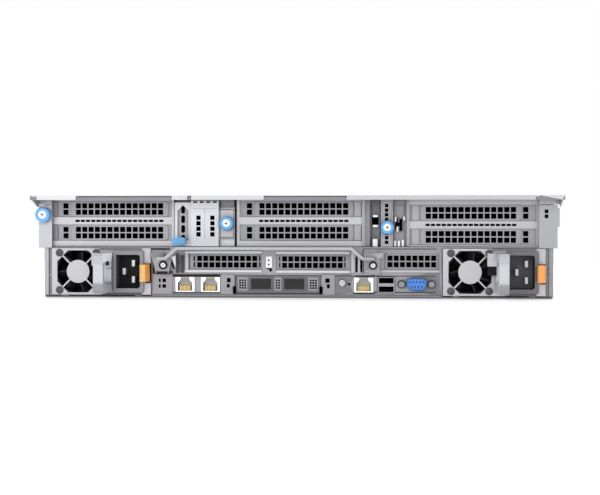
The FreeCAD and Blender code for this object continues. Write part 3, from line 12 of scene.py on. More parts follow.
import bmesh
import bpy
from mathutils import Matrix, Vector


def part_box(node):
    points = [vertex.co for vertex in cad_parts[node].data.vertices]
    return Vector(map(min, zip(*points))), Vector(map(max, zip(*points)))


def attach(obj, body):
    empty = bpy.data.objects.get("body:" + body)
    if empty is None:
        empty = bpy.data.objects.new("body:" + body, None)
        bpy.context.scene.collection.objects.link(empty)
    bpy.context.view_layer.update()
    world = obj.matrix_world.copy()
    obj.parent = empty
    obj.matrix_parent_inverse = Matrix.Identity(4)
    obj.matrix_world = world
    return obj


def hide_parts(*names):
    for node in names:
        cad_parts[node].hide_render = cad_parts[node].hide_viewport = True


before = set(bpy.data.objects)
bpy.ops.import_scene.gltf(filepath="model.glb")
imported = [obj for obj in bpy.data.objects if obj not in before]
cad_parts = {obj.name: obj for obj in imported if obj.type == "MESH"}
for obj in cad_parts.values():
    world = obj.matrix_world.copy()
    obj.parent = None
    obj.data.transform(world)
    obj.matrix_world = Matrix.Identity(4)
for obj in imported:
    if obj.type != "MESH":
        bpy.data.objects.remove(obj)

LOG = logging.getLogger("server")
MM = 0.001

# Places in millimetres that several classes share.
REAR = -350.0
FRONT = 372.0
EAR_PLANE = 350.0
HALF = 217.0
SUPPLY_EDGES = (-210.6, 124.6)
VENT_ROWS = (75.8, 55.48)
LOW_VENT_ROWS = (30.8, 30.5, 31.3)
RIGHT_DROP = 3.4
VENT_FIELD = 5.2

# Limits for the parts of a face's normal.
SIDEWAYS = 0.3
SLANTED = 0.5
AHEAD = 0.85

# Softening of edges: degrees, steps, metres and percent.
SMOOTH_ANGLE = 32
BEVEL_ANGLE = 35
BEVEL_STEPS = 2
SAME_POINT = 1e-7
WELD_REACH = 2e-6
FACE_WEIGHT = 80

Span = tuple[float, float]
Point = tuple[float, float]
Colour = tuple[float, float, float]
FaceTest = Callable[[Vector, Vector], bool]


class Axis(Enum):
    """Direction that a profile is pulled along or turned about."""

    X = 0
    Y = 1
    Z = 2

    def point(self, u: float, v: float, w: float) -> Vector:
        """Point along and across this axis.

        Args:
            u, v: place across it, in X, Y, Z order.
            w: place along it.
        Returns:
            The point.
        """
        if self is Axis.X:
            return Vector((w, u, v))
        if self is Axis.Y:
            return Vector((u, w, v))
        return Vector((u, v, w))


class Texture(Enum):
    """Kind of surface detail under a finish."""

    SHEET = "sheet"
    MOULDED = "moulded"
    BOARD = "board"


@dataclass(frozen=True)
class Finish:
    """Colour and surface of one material.

    Args:
        name: the material's name.
        colour: sRGB parts of 255.
        metallic, roughness, coat, shine: strengths as the shader takes them.
        relief: strength of the bumps.
        grain: size of the grain in millimetres.
        wander: how much the tone varies.
        texture: kind of detail.
        glow: strength of the light that it gives; no part here is a lamp, so on any part but the floor it is
            painted light.
        crease: how much tight corners darken, as painted shade.
    """

    name: str
    colour: Colour
    metallic: float = 0.0
    roughness: float = 0.5
    relief: float = 0.15
    grain: float = 0.6
    wander: float = 0.06
    texture: Texture = Texture.SHEET
    coat: float = 0.0
    glow: float = 0.0
    crease: float = 0.6
    shine: float = 0.5


moulded = partial(Finish, texture=Texture.MOULDED)

COVER_WHITE = Finish("cover_zinc", (246, 246, 249), 0.15, 0.42, grain=0.5, wander=0.03)
HEADER_ZINC = Finish("header_zinc", (178, 177, 183), 0.25, 0.45)
PAN_ZINC = Finish("pan_zinc", (190, 190, 195), 0.35, 0.42)
CAGE_ZINC = Finish("cage_zinc", (194, 194, 198), 0.25, 0.42, wander=0.05)
CASE_ZINC = Finish("case_zinc", (194, 194, 199), 0.2, 0.4, wander=0.04)
PAD_ZINC = Finish("pad_zinc", (146, 146, 150), 0.3, 0.45)
SIDE_ZINC = Finish("side_zinc", (160, 160, 165), 0.25, 0.42)
POST_ZINC = Finish("post_zinc", (164, 164, 169), 0.25, 0.42)
DIM_ZINC = Finish("dim_zinc", (124, 124, 128), 0.25, 0.45)
SLOT_ZINC = Finish("slot_zinc", (156, 156, 161), 0.3, 0.45)
LIP_ZINC = Finish("lip_zinc", (190, 189, 194), 0.2, 0.42, wander=0.03)
COVER_TOP = Finish("cover_top", (206, 207, 211), 0.3, 0.4)
HANDLE_LOW_SHADE = moulded("handle_low", (146, 147, 151), 0.15, 0.45, grain=0.5)
HANDLE_UP_SHADE = moulded("handle_up", (184, 185, 190), 0.15, 0.45, grain=0.5)
HANDLE_LIT = moulded("handle_lit", (206, 207, 211), 0.1, 0.45, grain=0.5, glow=0.5)
# Dark tones for real gaps and joints, and for painted shadow lines and painted shadow round parts.
GAP_SHADE_DARK = Finish("gap_shade_dark", (62, 62, 64), 0.1, 0.6)
GAP_SHADE_DEEP = Finish("gap_shade_deep", (34, 34, 35), 0.1, 0.6, shine=0.2)
ORANGE_HIGHLIGHT = moulded("latch_orange_light", (240, 192, 118), 0.0, 0.4, grain=0.5)
RIB_ZINC = Finish("rib_zinc", (166, 166, 170), 0.3, 0.45)
# Painted highlight: glowing white for the glints on the slot fin and on the column's tabs and rollers.
TAB_HIGHLIGHT = Finish("tab_highlight", (250, 250, 252), 0.0, 0.4, glow=0.35)
FLANGE_SHADED = Finish("flange_right", (146, 147, 151), 0.3, 0.42)
FLANGE_LIT = Finish("flange_left", (172, 172, 177), 0.3, 0.42)
LIP_LIT = Finish("lip_lit", (222, 221, 225), 0.1, 0.42, wander=0.02)
LIP_HALF_LIT = Finish("lip_half_lit", (208, 208, 212), 0.1, 0.42, wander=0.02)
LIP_EDGE = Finish("lip_edge", (133, 132, 136), 0.2, 0.45, wander=0.03)
SHADE_GREY = Finish("shade_grey", (124, 125, 128), 0.2, 0.45)
FOOT_SHADE = Finish("foot_shade", (90, 90, 92), 0.2, 0.45)
# Dark grey that glows as painted light, for the insides and backs of the network card's cages.
CAGE_BACK_GLOW = moulded("cage_back", (60, 60, 61), 0.0, 0.6, glow=0.85)
FOOT_ZINC = Finish("foot_zinc", (152, 151, 154), 0.25, 0.42)
TAB_ZINC = Finish("tab_zinc", (126, 127, 130), 0.25, 0.42)
BRACKET_LIT = Finish("bracket_left", (190, 190, 194), 0.2, 0.4, wander=0.04)
BRACKET_SHADED = Finish("bracket_right", (170, 171, 175), 0.2, 0.4, wander=0.04)
RIGHT_ZINC = Finish("right_cage_zinc", (186, 185, 190), 0.25, 0.42, wander=0.05)
LINER_GREY = Finish("liner_grey", (150, 152, 158), 0.2, 0.5)
POST_DARK = Finish("post_dark", (136, 137, 141), 0.3, 0.5)
RAIL_DARK = Finish("rail_dark", (116, 116, 118), 0.3, 0.5)
# Grey that glows as painted light, for the network sockets' inserts.
JACK_GREY_GLOW = moulded("jack_grey", (170, 168, 162), 0.0, 0.5, glow=0.45)
PANEL_ZINC = Finish("panel_zinc", (160, 159, 163), 0.25, 0.45)
PLATE_ZINC = Finish("plate_zinc", (152, 151, 156), 0.25, 0.42)
BRIGHT_ZINC = Finish("bright_zinc", (206, 206, 211), 0.2, 0.4, wander=0.04)
STRAP_ZINC = Finish("strap_zinc", (170, 171, 175), 0.25, 0.4)
EDGE_SHADE = Finish("edge_shade", (128, 128, 131), 0.3, 0.5)
BOOT_WHITE = Finish("boot_white", (226, 227, 231), 0.1, 0.45, wander=0.03)
# Steel that glows as painted light, for the port shells and the sockets' lamps.
SHELL_STEEL_GLOW = Finish(
    "shell_steel_glow", (250, 250, 252), 0.1, 0.35, relief=0.05, grain=0.3, wander=0.02, glow=0.32)
PORT_INSIDE = moulded("port_inside", (140, 140, 142), 0.0, 0.5)
GOLD = Finish("contact_gold", (205, 180, 112), 0.7, 0.3, relief=0.05)
PIN_STEEL = Finish("pin_steel", (184, 184, 187), 0.6, 0.3, relief=0.05)
BLACK = moulded("black_moulding", (20, 20, 22), 0.0, 0.5, grain=0.4, shine=0.25)
# Unlit black: painted shade that fills holes, slits, gaps and the space behind vents; a few small black parts
# use it too.
UNLIT_BLACK = moulded("unlit_black", (3, 3, 3), 0.0, 0.9, relief=0.02, shine=0.0)
CHARCOAL = moulded("charcoal", (78, 78, 80), 0.0, 0.55, grain=0.4)
CARD_GREY = Finish("card_face", (108, 107, 111), 0.3, 0.45)
CAGE_FRAME = Finish("cage_frame", (98, 97, 102), 0.3, 0.45)
FLANGE_GREY = Finish("inlet_flange", (140, 139, 145), 0.2, 0.45)
HANDLE_GREY = moulded("handle_grey", (206, 206, 213), 0.0, 0.45, grain=0.5)
HANDLE_SIDE_SHADE = moulded("handle_side", (180, 180, 186), 0.0, 0.5, grain=0.5)
RECESS_LIT = moulded("recess_grey", (96, 97, 101), 0.0, 0.5, grain=0.5)
ORANGE = moulded("latch_orange", (252, 170, 92), 0.0, 0.4, grain=0.5)
BLUE = moulded("touch_blue", (112, 184, 242), 0.0, 0.42, grain=0.4)
SCREW_WHITE = Finish("screw_face", (236, 240, 246), 0.3, 0.3, grain=0.3)
CROSS_BROWN = Finish("screw_recess", (120, 100, 88), 0.4, 0.5)
VGA_BLUE = moulded("socket_blue", (70, 140, 232), 0.0, 0.35, grain=0.4)
PIN_BLUE = moulded("pin_hole_blue", (22, 60, 130), 0.0, 0.6)
BOARD_GREEN = Finish("solder_mask", (16, 66, 40), 0.1, 0.35, texture=Texture.BOARD, grain=3.0)
CHIP_BLACK = moulded("chip_black", (30, 31, 33), 0.0, 0.4, grain=0.5)
FIN_ALUMINIUM = Finish("fin_aluminium", (205, 206, 210), 0.85, 0.32, grain=0.4)
SCREW_DARK = Finish("screw_dark", (76, 76, 78), 0.2, 0.5, grain=0.4)
LENS = moulded("button_lens", (200, 202, 206), 0.0, 0.25, coat=0.4)
LEVER_GREY = moulded("lever_grey", (120, 122, 127), 0.0, 0.45, grain=0.5)
FLOOR_PALE = moulded(
    "floor", (252, 252, 252), 0.0, 0.9, relief=0.0, wander=0.0, glow=0.45, crease=0.0)


def to_linear(value: float) -> float:
    """Converts one sRGB part.

    Args:
        value: part of 255.
    Returns:
        The linear value from 0 to 1.
    """
    part = value / 255
    return part / 12.92 if part <= 0.04045 else ((part + 0.055) / 1.055) ** 2.4


class Surfaces:
    """Makes each finish's material once, from one node group per kind of texture."""

    BRUSHED = (0.12, 1.0, 1.0)
    FINE_DETAIL, BROAD_DETAIL, BROAD_SCALE = 5.0, 3.0, 22.0
    FINE_SHARE = 0.4
    TONE_GAIN, ROUGH_GAIN = 4.0, 0.5
    CREASE_REACH, CREASE_SAMPLES = 0.004, 4
    BUMP_REACH = 0.0004
    TRACK_SCALE, TRACK_WIDTH, TRACK_LIFT = 160.0, 0.06, 0.7

    def __init__(self) -> None:
        self.made: dict[str, bpy.types.Material] = {}
        self.groups = {kind: self.group(kind) for kind in Texture}

    def group(self, kind: Texture) -> bpy.types.NodeTree:
        """Builds the node group behind a kind of texture.

        Args:
            kind: which surface detail.
        Returns:
            A group that turns tint and roughness into the varied ones, with painted shade in tight corners,
            and a relief normal.
        """
        tree = bpy.data.node_groups.new(f"{kind.value}_surface", "ShaderNodeTree")
        sockets = tree.interface
        sockets.new_socket("Tint", in_out="INPUT", socket_type="NodeSocketColor")
        for name in ("Roughness", "Relief", "Grain", "Wander", "Crease Shade"):
            sockets.new_socket(name, in_out="INPUT", socket_type="NodeSocketFloat")
        sockets.new_socket("Colour", in_out="OUTPUT", socket_type="NodeSocketColor")
        sockets.new_socket("Rough", in_out="OUTPUT", socket_type="NodeSocketFloat")
        sockets.new_socket("Normal", in_out="OUTPUT", socket_type="NodeSocketVector")
        add = tree.nodes.new
        link = tree.links.new
        given = add("NodeGroupInput")
        result = add("NodeGroupOutput")
        place = add("ShaderNodeTexCoord")
        stretch = add("ShaderNodeMapping")
        fine = add("ShaderNodeTexNoise")
        broad = add("ShaderNodeTexNoise")
        stretch.inputs["Scale"].default_value = self.BRUSHED if kind is Texture.SHEET else (1.0, 1.0, 1.0)
        fine.inputs["Detail"].default_value = self.FINE_DETAIL
        broad.inputs["Scale"].default_value = self.BROAD_SCALE
        broad.inputs["Detail"].default_value = self.BROAD_DETAIL
        link(place.outputs["Object"], stretch.inputs["Vector"])
        link(stretch.outputs["Vector"], fine.inputs["Vector"])
        link(place.outputs["Object"], broad.inputs["Vector"])
        link(given.outputs["Grain"], fine.inputs["Scale"])
        both = add("ShaderNodeMix")
        both.data_type = "FLOAT"
        both.inputs["Factor"].default_value = self.FINE_SHARE
        link(broad.outputs["Fac"], both.inputs["A"])
        link(fine.outputs["Fac"], both.inputs["B"])
        centred = self.maths(tree, "SUBTRACT", both.outputs["Result"], 0.5)
        swing = self.maths(tree, "MULTIPLY", centred, given.outputs["Wander"])
        swing = self.maths(tree, "MULTIPLY", swing, self.TONE_GAIN)
        tone = self.maths(tree, "ADD", swing, 1.0)
        height = fine.outputs["Fac"]
        if kind is Texture.BOARD:
            tone, height = self.traces(tree, place, tone)
        if kind is Texture.MOULDED:
            pits = add("ShaderNodeTexVoronoi")
            pits.feature = "SMOOTH_F1"
            link(place.outputs["Object"], pits.inputs["Vector"])
            link(given.outputs["Grain"], pits.inputs["Scale"])
            height = self.maths(tree, "ADD", pits.outputs["Distance"], fine.outputs["Fac"])
        # Painted shade: ambient occlusion darkens the tint in tight corners and recesses.
        shade = add("ShaderNodeAmbientOcclusion")
        shade.inputs["Distance"].default_value = self.CREASE_REACH
        shade.samples = self.CREASE_SAMPLES
        dark = self.maths(tree, "SUBTRACT", 1.0, shade.outputs["AO"])
        dark = self.maths(tree, "MULTIPLY", dark, given.outputs["Crease Shade"])
        open_part = self.maths(tree, "SUBTRACT", 1.0, dark)
        tone = self.maths(tree, "MULTIPLY", tone, open_part)
        tint = add("ShaderNodeVectorMath")
        tint.operation = "SCALE"
        link(given.outputs["Tint"], tint.inputs[0])
        link(tone, tint.inputs["Scale"])
        link(tint.outputs["Vector"], result.inputs["Colour"])
        rough = self.maths(tree, "MULTIPLY", centred, self.ROUGH_GAIN)
        rough = self.maths(tree, "ADD", rough, given.outputs["Roughness"])
        link(rough, result.inputs["Rough"])
        bump = add("ShaderNodeBump")
        bump.inputs["Distance"].default_value = self.BUMP_REACH
        link(given.outputs["Relief"], bump.inputs["Strength"])
        link(height, bump.inputs["Height"])
        link(bump.outputs["Normal"], result.inputs["Normal"])
        return tree

    @staticmethod
    def maths(tree: bpy.types.NodeTree, action: str, a: object, b: object) -> bpy.types.NodeSocket:
        """Adds a maths node.

        Args:
            tree: group to add it to.
            action: its operation.
            a: first socket or number.
            b: second socket or number.
        Returns:
            The node's output socket.
        """
        node = tree.nodes.new("ShaderNodeMath")
        node.operation = action
        for socket, value in zip(node.inputs, (a, b)):
            if isinstance(value, (int, float)):
                socket.default_value = value
            else:
                tree.links.new(value, socket)
        return node.outputs[0]

    def traces(
        self, tree: bpy.types.NodeTree, place: bpy.types.Node, tone: bpy.types.NodeSocket
    ) -> tuple[bpy.types.NodeSocket, bpy.types.NodeSocket]:
        """Lays copper tracks under a board's solder mask.

        Args:
            tree: group to add to.
            place: node that gives the object's own coordinates.
            tone: brightness so far.
        Returns:
            The brightness with tracks, and the tracks as a height.
        """
        weave = tree.nodes.new("ShaderNodeTexBrick")
        weave.inputs["Scale"].default_value = self.TRACK_SCALE
        weave.inputs["Mortar Size"].default_value = self.TRACK_WIDTH
        weave.inputs["Color1"].default_value = (0.1, 0.1, 0.1, 1)
        weave.inputs["Color2"].default_value = (0.3, 0.3, 0.3, 1)
        weave.inputs["Mortar"].default_value = (1, 1, 1, 1)
        tree.links.new(place.outputs["Object"], weave.inputs["Vector"])
        lift = self.maths(tree, "MULTIPLY", weave.outputs["Fac"], self.TRACK_LIFT)
        return self.maths(tree, "ADD", tone, lift), weave.outputs["Fac"]

    def get(self, finish: Finish) -> bpy.types.Material:
        """Gives a finish's material.

        Args:
            finish: what it looks like.
        Returns:
            The material, made on first use.
        """
        if finish.name in self.made:
            return self.made[finish.name]
        made = bpy.data.materials.new(finish.name)
        made.use_nodes = True
        nodes, links = made.node_tree.nodes, made.node_tree.links
        shader = nodes["Principled BSDF"]
        detail = nodes.new("ShaderNodeGroup")
        detail.node_tree = self.groups[finish.texture]
        colour = (*(to_linear(part) for part in finish.colour), 1.0)
        values = {
            "Tint": colour, "Roughness": finish.roughness, "Relief": finish.relief,
            "Grain": 1000 / finish.grain, "Wander": finish.wander, "Crease Shade": finish.crease,
        }
        for name, value in values.items():
            detail.inputs[name].default_value = value
        links.new(detail.outputs["Colour"], shader.inputs["Base Color"])
        links.new(detail.outputs["Rough"], shader.inputs["Roughness"])
        links.new(detail.outputs["Normal"], shader.inputs["Normal"])
        shader.inputs["Metallic"].default_value = finish.metallic
        shader.inputs["Coat Weight"].default_value = finish.coat
        shader.inputs["Specular IOR Level"].default_value = finish.shine
        if finish.glow:
            shader.inputs["Emission Color"].default_value = colour
            shader.inputs["Emission Strength"].default_value = finish.glow
        made.diffuse_color = colour
        self.made[finish.name] = made
        return made


SURFACES = Surfaces()


def rear(start: float, end: float) -> Span:
    """Span along Y, counted from the rear edge into the server.

    Args:
        start, end: distances from the edge.
    Returns:
        The span.
    """
    return REAR + start, REAR + end


def circle(u: float, v: float, radius: float, steps: int) -> list[Point]:
    """Corners of a regular outline.

    Args:
        u, v: its centre.
        radius: distance of each corner.
        steps: number of corners.
    Returns:
        The corners in order.
    """
    angles = [2 * math.pi * i / steps for i in range(steps)]
    return [(u + radius * math.cos(a), v + radius * math.sin(a)) for a in angles]


def rounded(u: float, v: float, width: float, height: float, radius: float, steps: int = 5) -> list[Point]:
    """Corners of an oblong with round corners.

    Args:
        u, v: its centre.
        width, height: its sizes.
        radius: corner radius.
        steps: points per corner.
    Returns:
        The outline's points in order.
    """
    points = []
    for turn, (su, sv) in enumerate(((1, 1), (-1, 1), (-1, -1), (1, -1))):
        for i in range(steps):
            angle = (turn + i / (steps - 1)) * math.pi / 2
            centre_u, centre_v = u + su * (width / 2 - radius), v + sv * (height / 2 - radius)
            points.append((centre_u + radius * math.cos(angle), centre_v + radius * math.sin(angle)))
    return points


def spread(count: int, pitch: float, middle: float = 0.0) -> list[float]:
    """Evenly spaced places about a middle.

    Args:
        count: how many.
        pitch: distance between neighbours.
        middle: centre of the row.
    Returns:
        The places in order.
    """
    return [middle + (i - (count - 1) / 2) * pitch for i in range(count)]


class Shape:
    """Gathers solids in millimetres and turns them into one piece of the object."""

    def __init__(self) -> None:
        self.mesh = bmesh.new()

    def box(self, x: Span, y: Span, z: Span) -> "Shape":
        """Adds a block.

        Args:
            x, y, z: its extent along each axis.
        Returns:
            This shape.
        """
        return self.prism(Axis.Z, [(x[0], y[0]), (x[1], y[0]), (x[1], y[1]), (x[0], y[1])], z)

    def layer(self, y: Span, spots: Sequence[tuple[Span, Span]]) -> "Shape":
        """Adds blocks that share their extent along Y.

        Args:
            y: that extent.
            spots: each block's extents along X and Z.
        Returns:
            This shape.
        """
        for x, z in spots:
            self.box(x, y, z)
        return self

    def prism(self, axis: Axis, outline: Sequence[Point], span: Span, inset: float = 0.0) -> "Shape":
        """Pulls an outline along an axis.

        Args:
            axis: direction of the pull.
            outline: corners across the axis.
            span: where it starts and ends.
            inset: how far the far end's corners move in towards the outline's middle.
        Returns:
            This shape.
        """
        middle_u = sum(p[0] for p in outline) / len(outline)
        middle_v = sum(p[1] for p in outline) / len(outline)
        near, far = [], []
        for u, v in outline:
            length = math.hypot(u - middle_u, v - middle_v) or 1.0
            k = 1 - inset / length
            near.append(self.mesh.verts.new(axis.point(u, v, span[0]) * MM))
            end = axis.point(middle_u + (u - middle_u) * k, middle_v + (v - middle_v) * k, span[1])
            far.append(self.mesh.verts.new(end * MM))
        self.close(near, far)
        return self

    def close(self, near: list, far: list) -> None:
        """Joins two rings of corners by side faces and caps both.

        Args:
            near: corners of the first ring.
            far: corners of the second.
        """
        count = len(near)
        self.mesh.faces.new(near)
        self.mesh.faces.new(list(reversed(far)))
        for i in range(count):
            j = (i + 1) % count
            self.mesh.faces.new((near[i], far[i], far[j], near[j]))

    def lathe(self, axis: Axis, centre: Point, profile: Sequence[Point], steps: int = 40) -> "Shape":
        """Turns a profile about an axis.

        Args:
            axis: direction of the turning axis.
            centre: where it passes, across the axis.
            profile: pairs of radius and place along the axis.
            steps: facets around.
        Returns:
            This shape.
        """
        rings = []
        for radius, place in profile:
            if radius < 1e-6:
                rings.append([self.mesh.verts.new(axis.point(*centre, place) * MM)])
                continue
            around = circle(*centre, radius, steps)
            rings.append([self.mesh.verts.new(axis.point(u, v, place) * MM) for u, v in around])
        for here, after in zip(rings, rings[1:]):
            for i in range(steps):
                j = (i + 1) % steps
                walk = ((here, i), (here, j), (after, j), (after, i))
                corners = list(dict.fromkeys(ring[k % len(ring)] for ring, k in walk))
                if len(corners) > 2:
                    self.mesh.faces.new(corners)
        for ring in (rings[0], rings[-1]):
            if len(ring) > 2 and profile[0] != profile[-1]:
                self.mesh.faces.new(ring)
        return self

    def ring(self, axis: Axis, centre: Point, inner: float, outer: float, span: Span) -> "Shape":
        """Adds a flat ring.

        Args:
            axis: direction of its hole.
            centre: its middle across the axis.
            inner, outer: its radii.
            span: its extent along the axis.
        Returns:
            This shape.
        """
        profile = [(inner, span[0]), (outer, span[0]), (outer, span[1]), (inner, span[1]), (inner, span[0])]
        return self.lathe(axis, centre, profile)

    def piece(self, name: str, finish: Finish, bevel: float, body: str = "chassis") -> bpy.types.Object:
        """Turns the gathered solids into an object that moves with a body.

        Args:
            name: the piece's name.
            finish: its surface.
            bevel: width of its softened edges.
            body: CAD body that it rides on.
        Returns:
            The new object.
        """
        bmesh.ops.remove_doubles(self.mesh, verts=self.mesh.verts, dist=SAME_POINT)
        bmesh.ops.recalc_face_normals(self.mesh, faces=self.mesh.faces)
        data = bpy.data.meshes.new(name)
        self.mesh.to_mesh(data)
        self.mesh.free()
        made = bpy.data.objects.new(name, data)
        bpy.context.scene.collection.objects.link(made)
        data.materials.append(SURFACES.get(finish))
        for face in data.polygons:
            face.use_smooth = True
        data.set_sharp_from_angle(angle=math.radians(SMOOTH_ANGLE))
        soften(made, bevel, weld=False)
        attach(made, body)
        LOG.info("%s: %d faces on %s, %s", name, len(data.polygons), body, finish.name)
        return made


def soften(made: bpy.types.Object, width: float, weld: bool = True) -> None:
    """Rounds an object's sharp edges with modifiers.

    Args:
        made: object to soften.
        width: bevel width in millimetres.
        weld: whether coincident corners are joined first.
    """
    if weld:
        join = made.modifiers.new("join", "WELD")
        join.merge_threshold = WELD_REACH
    if width <= 0:
        return
    edge = made.modifiers.new("edge", "BEVEL")
    edge.width = width * MM
    edge.segments = BEVEL_STEPS
    edge.limit_method = "ANGLE"
    edge.angle_limit = math.radians(BEVEL_ANGLE)
    edge.use_clamp_overlap = True
    even = made.modifiers.new("even", "WEIGHTED_NORMAL")
    even.keep_sharp = False
    even.weight = FACE_WEIGHT


def paint(node: str, finish: Finish, bevel: float, extra: Sequence[tuple[Finish, FaceTest]] = ()) -> None:
    """Gives a CAD node its finish, with others on the faces that a test picks.

    Args:
        node: the node's name.
        finish: its main finish.
        bevel: width of its softened edges.
        extra: further finishes, each with a test of a face's centre and normal in millimetres.
    """
    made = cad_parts[node]
    made.data.materials.clear()
    for each in (finish, *(pair[0] for pair in extra)):
        made.data.materials.append(SURFACES.get(each))
    for face in made.data.polygons:
        centre = face.center / MM
        face.material_index = 0
        for place, (_, test) in enumerate(extra, 1):
            if test(centre, face.normal):
                face.material_index = place
    soften(made, bevel)
    LOG.info("%s: %s", node, finish.name)


def inside(x: Span | None = None, y: Span | None = None, z: Span | None = None) -> FaceTest:
    """Test for faces whose centre lies within spans.

    Args:
        x, y, z: the spans, or None where any place will do.
    Returns:
        The test.
    """
    spans = (x, y, z)

    def test(centre: Vector, _: Vector) -> bool:
        return all(span is None or span[0] <= value <= span[1] for span, value in zip(spans, centre))

    return test


def both(*tests: FaceTest) -> FaceTest:
    """Test that holds where every given test does.

    Args:
        tests: the tests.
    Returns:
        The joint test.
    """
    return lambda centre, normal: all(test(centre, normal) for test in tests)


def facing(x: float = 0.0, y: float = 0.0, z: float = 0.0) -> FaceTest:
    """Test for faces that look a given way.

    Args:
        x, y, z: the direction.
    Returns:
        The test.
    """
    way = Vector((x, y, z))
    return lambda _, normal: normal.dot(way) > AHEAD


def rear_faces(x: Span | None = None, y: Span | None = None, z: Span | None = None) -> FaceTest:
    """Test for faces within spans that look to the rear.

    Args:
        x, y, z: the spans, or None where any place will do.
    Returns:
        The test.
    """
    return both(inside(x, y, z), facing(y=-1))


def sideways(_: Vector, normal: Vector) -> bool:
    """Tells whether a face is a wall, seen from the rear.

    Args:
        _: the face's centre, which doesn't matter.
        normal: the way it faces.
    Returns:
        Whether it is.
    """
    return abs(normal.y) < SIDEWAYS


def slanted(_: Vector, normal: Vector) -> bool:
    """Tells whether a face looks to the rear at least at a slant.

    Args:
        _: the face's centre, which doesn't matter.
        normal: the way it faces.
    Returns:
        Whether it does.
    """
    return normal.y < -SLANTED


def screw(shape: Shape, x: float, z: float, y: float, radius: float, height: float) -> None:
    """Adds a low domed screw head facing the rear.

    Args:
        shape: what to add it to.
        x, z: its centre.
        y: plane that it sits on.
        radius: head radius.
        height: how far it stands out.
    """
    profile = [
        (radius, y), (radius, y - height * 0.5), (radius * 0.86, y - height * 0.9),
        (radius * 0.45, y - height), (radius * 0.42, y - height * 0.45), (0.0, y - height * 0.4),
    ]
    shape.lathe(Axis.Y, (x, z), profile, 24)


@dataclass
class Studio:
    """Lights, floor, backdrop and camera."""

    lens: float = 84.66
    eye: tuple[float, float, float] = (87.3, -1546.8, 68.1)
    aim: tuple[float, float, float] = (3.6, -350.0, 43.0)
    ground: tuple[Span, Span, Span] = ((-1500, 1500), (-1500, 650), (-0.5, -0.4))
    lamps: tuple[tuple[str, tuple[float, float, float], float, float], ...] = (
        ("key", (-450, -1900, 420), 8.6, 1.1), ("fill", (900, -1600, 260), 3.2, 1.2),
        ("above", (0, 200, 1500), 12.0, 1.6))

    def build(self) -> None:
        """Makes the whole setting."""
        self.world()
        self.floor()
        for lamp in self.lamps:
            self.lamp(*lamp)
        self.camera()

    def world(self) -> None:
        """White behind the object, softer light all round."""
        world = bpy.data.worlds.new("studio")
        bpy.context.scene.world = world
        world.use_nodes = True
        nodes, links = world.node_tree.nodes, world.node_tree.links
        nodes.clear()
        path = nodes.new("ShaderNodeLightPath")
        seen = nodes.new("ShaderNodeMath")
        seen.operation = "MAXIMUM"
        seen_both = nodes.new("ShaderNodeMath")
        seen_both.operation = "MAXIMUM"
        white = nodes.new("ShaderNodeBackground")
        white.inputs["Strength"].default_value = 1.0
        white.inputs["Color"].default_value = (1, 1, 1, 1)
        sky = nodes.new("ShaderNodeBackground")
        place = nodes.new("ShaderNodeTexCoord")
        split = nodes.new("ShaderNodeSeparateXYZ")
        ramp = nodes.new("ShaderNodeMapRange")
        ramp.inputs["From Min"].default_value = -1.0
        ramp.inputs["To Min"].default_value = 0.22
        ramp.inputs["To Max"].default_value = 0.52
        mix = nodes.new("ShaderNodeMixShader")
        out = nodes.new("ShaderNodeOutputWorld")
        links.new(path.outputs["Is Camera Ray"], seen.inputs[0])
        links.new(path.outputs["Is Transmission Ray"], seen.inputs[1])
        links.new(seen.outputs[0], seen_both.inputs[0])
        links.new(path.outputs["Is Glossy Ray"], seen_both.inputs[1])
        links.new(place.outputs["Generated"], split.inputs[0])
        links.new(split.outputs["Z"], ramp.inputs["Value"])
        links.new(ramp.outputs["Result"], sky.inputs["Strength"])
        links.new(seen_both.outputs[0], mix.inputs["Fac"])
        links.new(sky.outputs[0], mix.inputs[1])
        links.new(white.outputs[0], mix.inputs[2])
        links.new(mix.outputs[0], out.inputs["Surface"])

    def floor(self) -> None:
        """Pale ground under the object."""
        shape = Shape().box(*self.ground)
        mesh = bpy.data.meshes.new("floor")
        bmesh.ops.recalc_face_normals(shape.mesh, faces=shape.mesh.faces)
        shape.mesh.to_mesh(mesh)
        shape.mesh.free()
        made = bpy.data.objects.new("floor", mesh)
        bpy.context.scene.collection.objects.link(made)
        mesh.materials.append(SURFACES.get(FLOOR_PALE))

    def lamp(self, name: str, place: tuple[float, float, float], power: float, size: float) -> None:
        """Adds a soft square light aimed at the object.

        Args:
            name: the light's name.
            place: where it hangs.
            power: watts.
            size: side in metres.
        """
        data = bpy.data.lights.new(name, "AREA")
        data.energy = power
        data.size = size
        made = bpy.data.objects.new(name, data)
        made.location = Vector(place) * MM
        aim = Vector((0, 0, 40)) * MM - made.location
        made.rotation_euler = aim.to_track_quat("-Z", "Y").to_euler()
        bpy.context.scene.collection.objects.link(made)

    def camera(self) -> None:
        """Looks at the rear, nearly straight on."""
        data = bpy.data.cameras.new("camera")
        data.lens = self.lens
        data.sensor_width = 36.0
        data.clip_start = 0.01
        data.clip_end = 50.0
        made = bpy.data.objects.new("camera", data)
        made.location = Vector(self.eye) * MM
        aim = (Vector(self.aim) - Vector(self.eye)) * MM
        made.rotation_euler = aim.to_track_quat("-Z", "Y").to_euler()
        bpy.context.scene.collection.objects.link(made)
        bpy.context.scene.camera = made
        bpy.context.scene.view_settings.view_transform = "Standard"


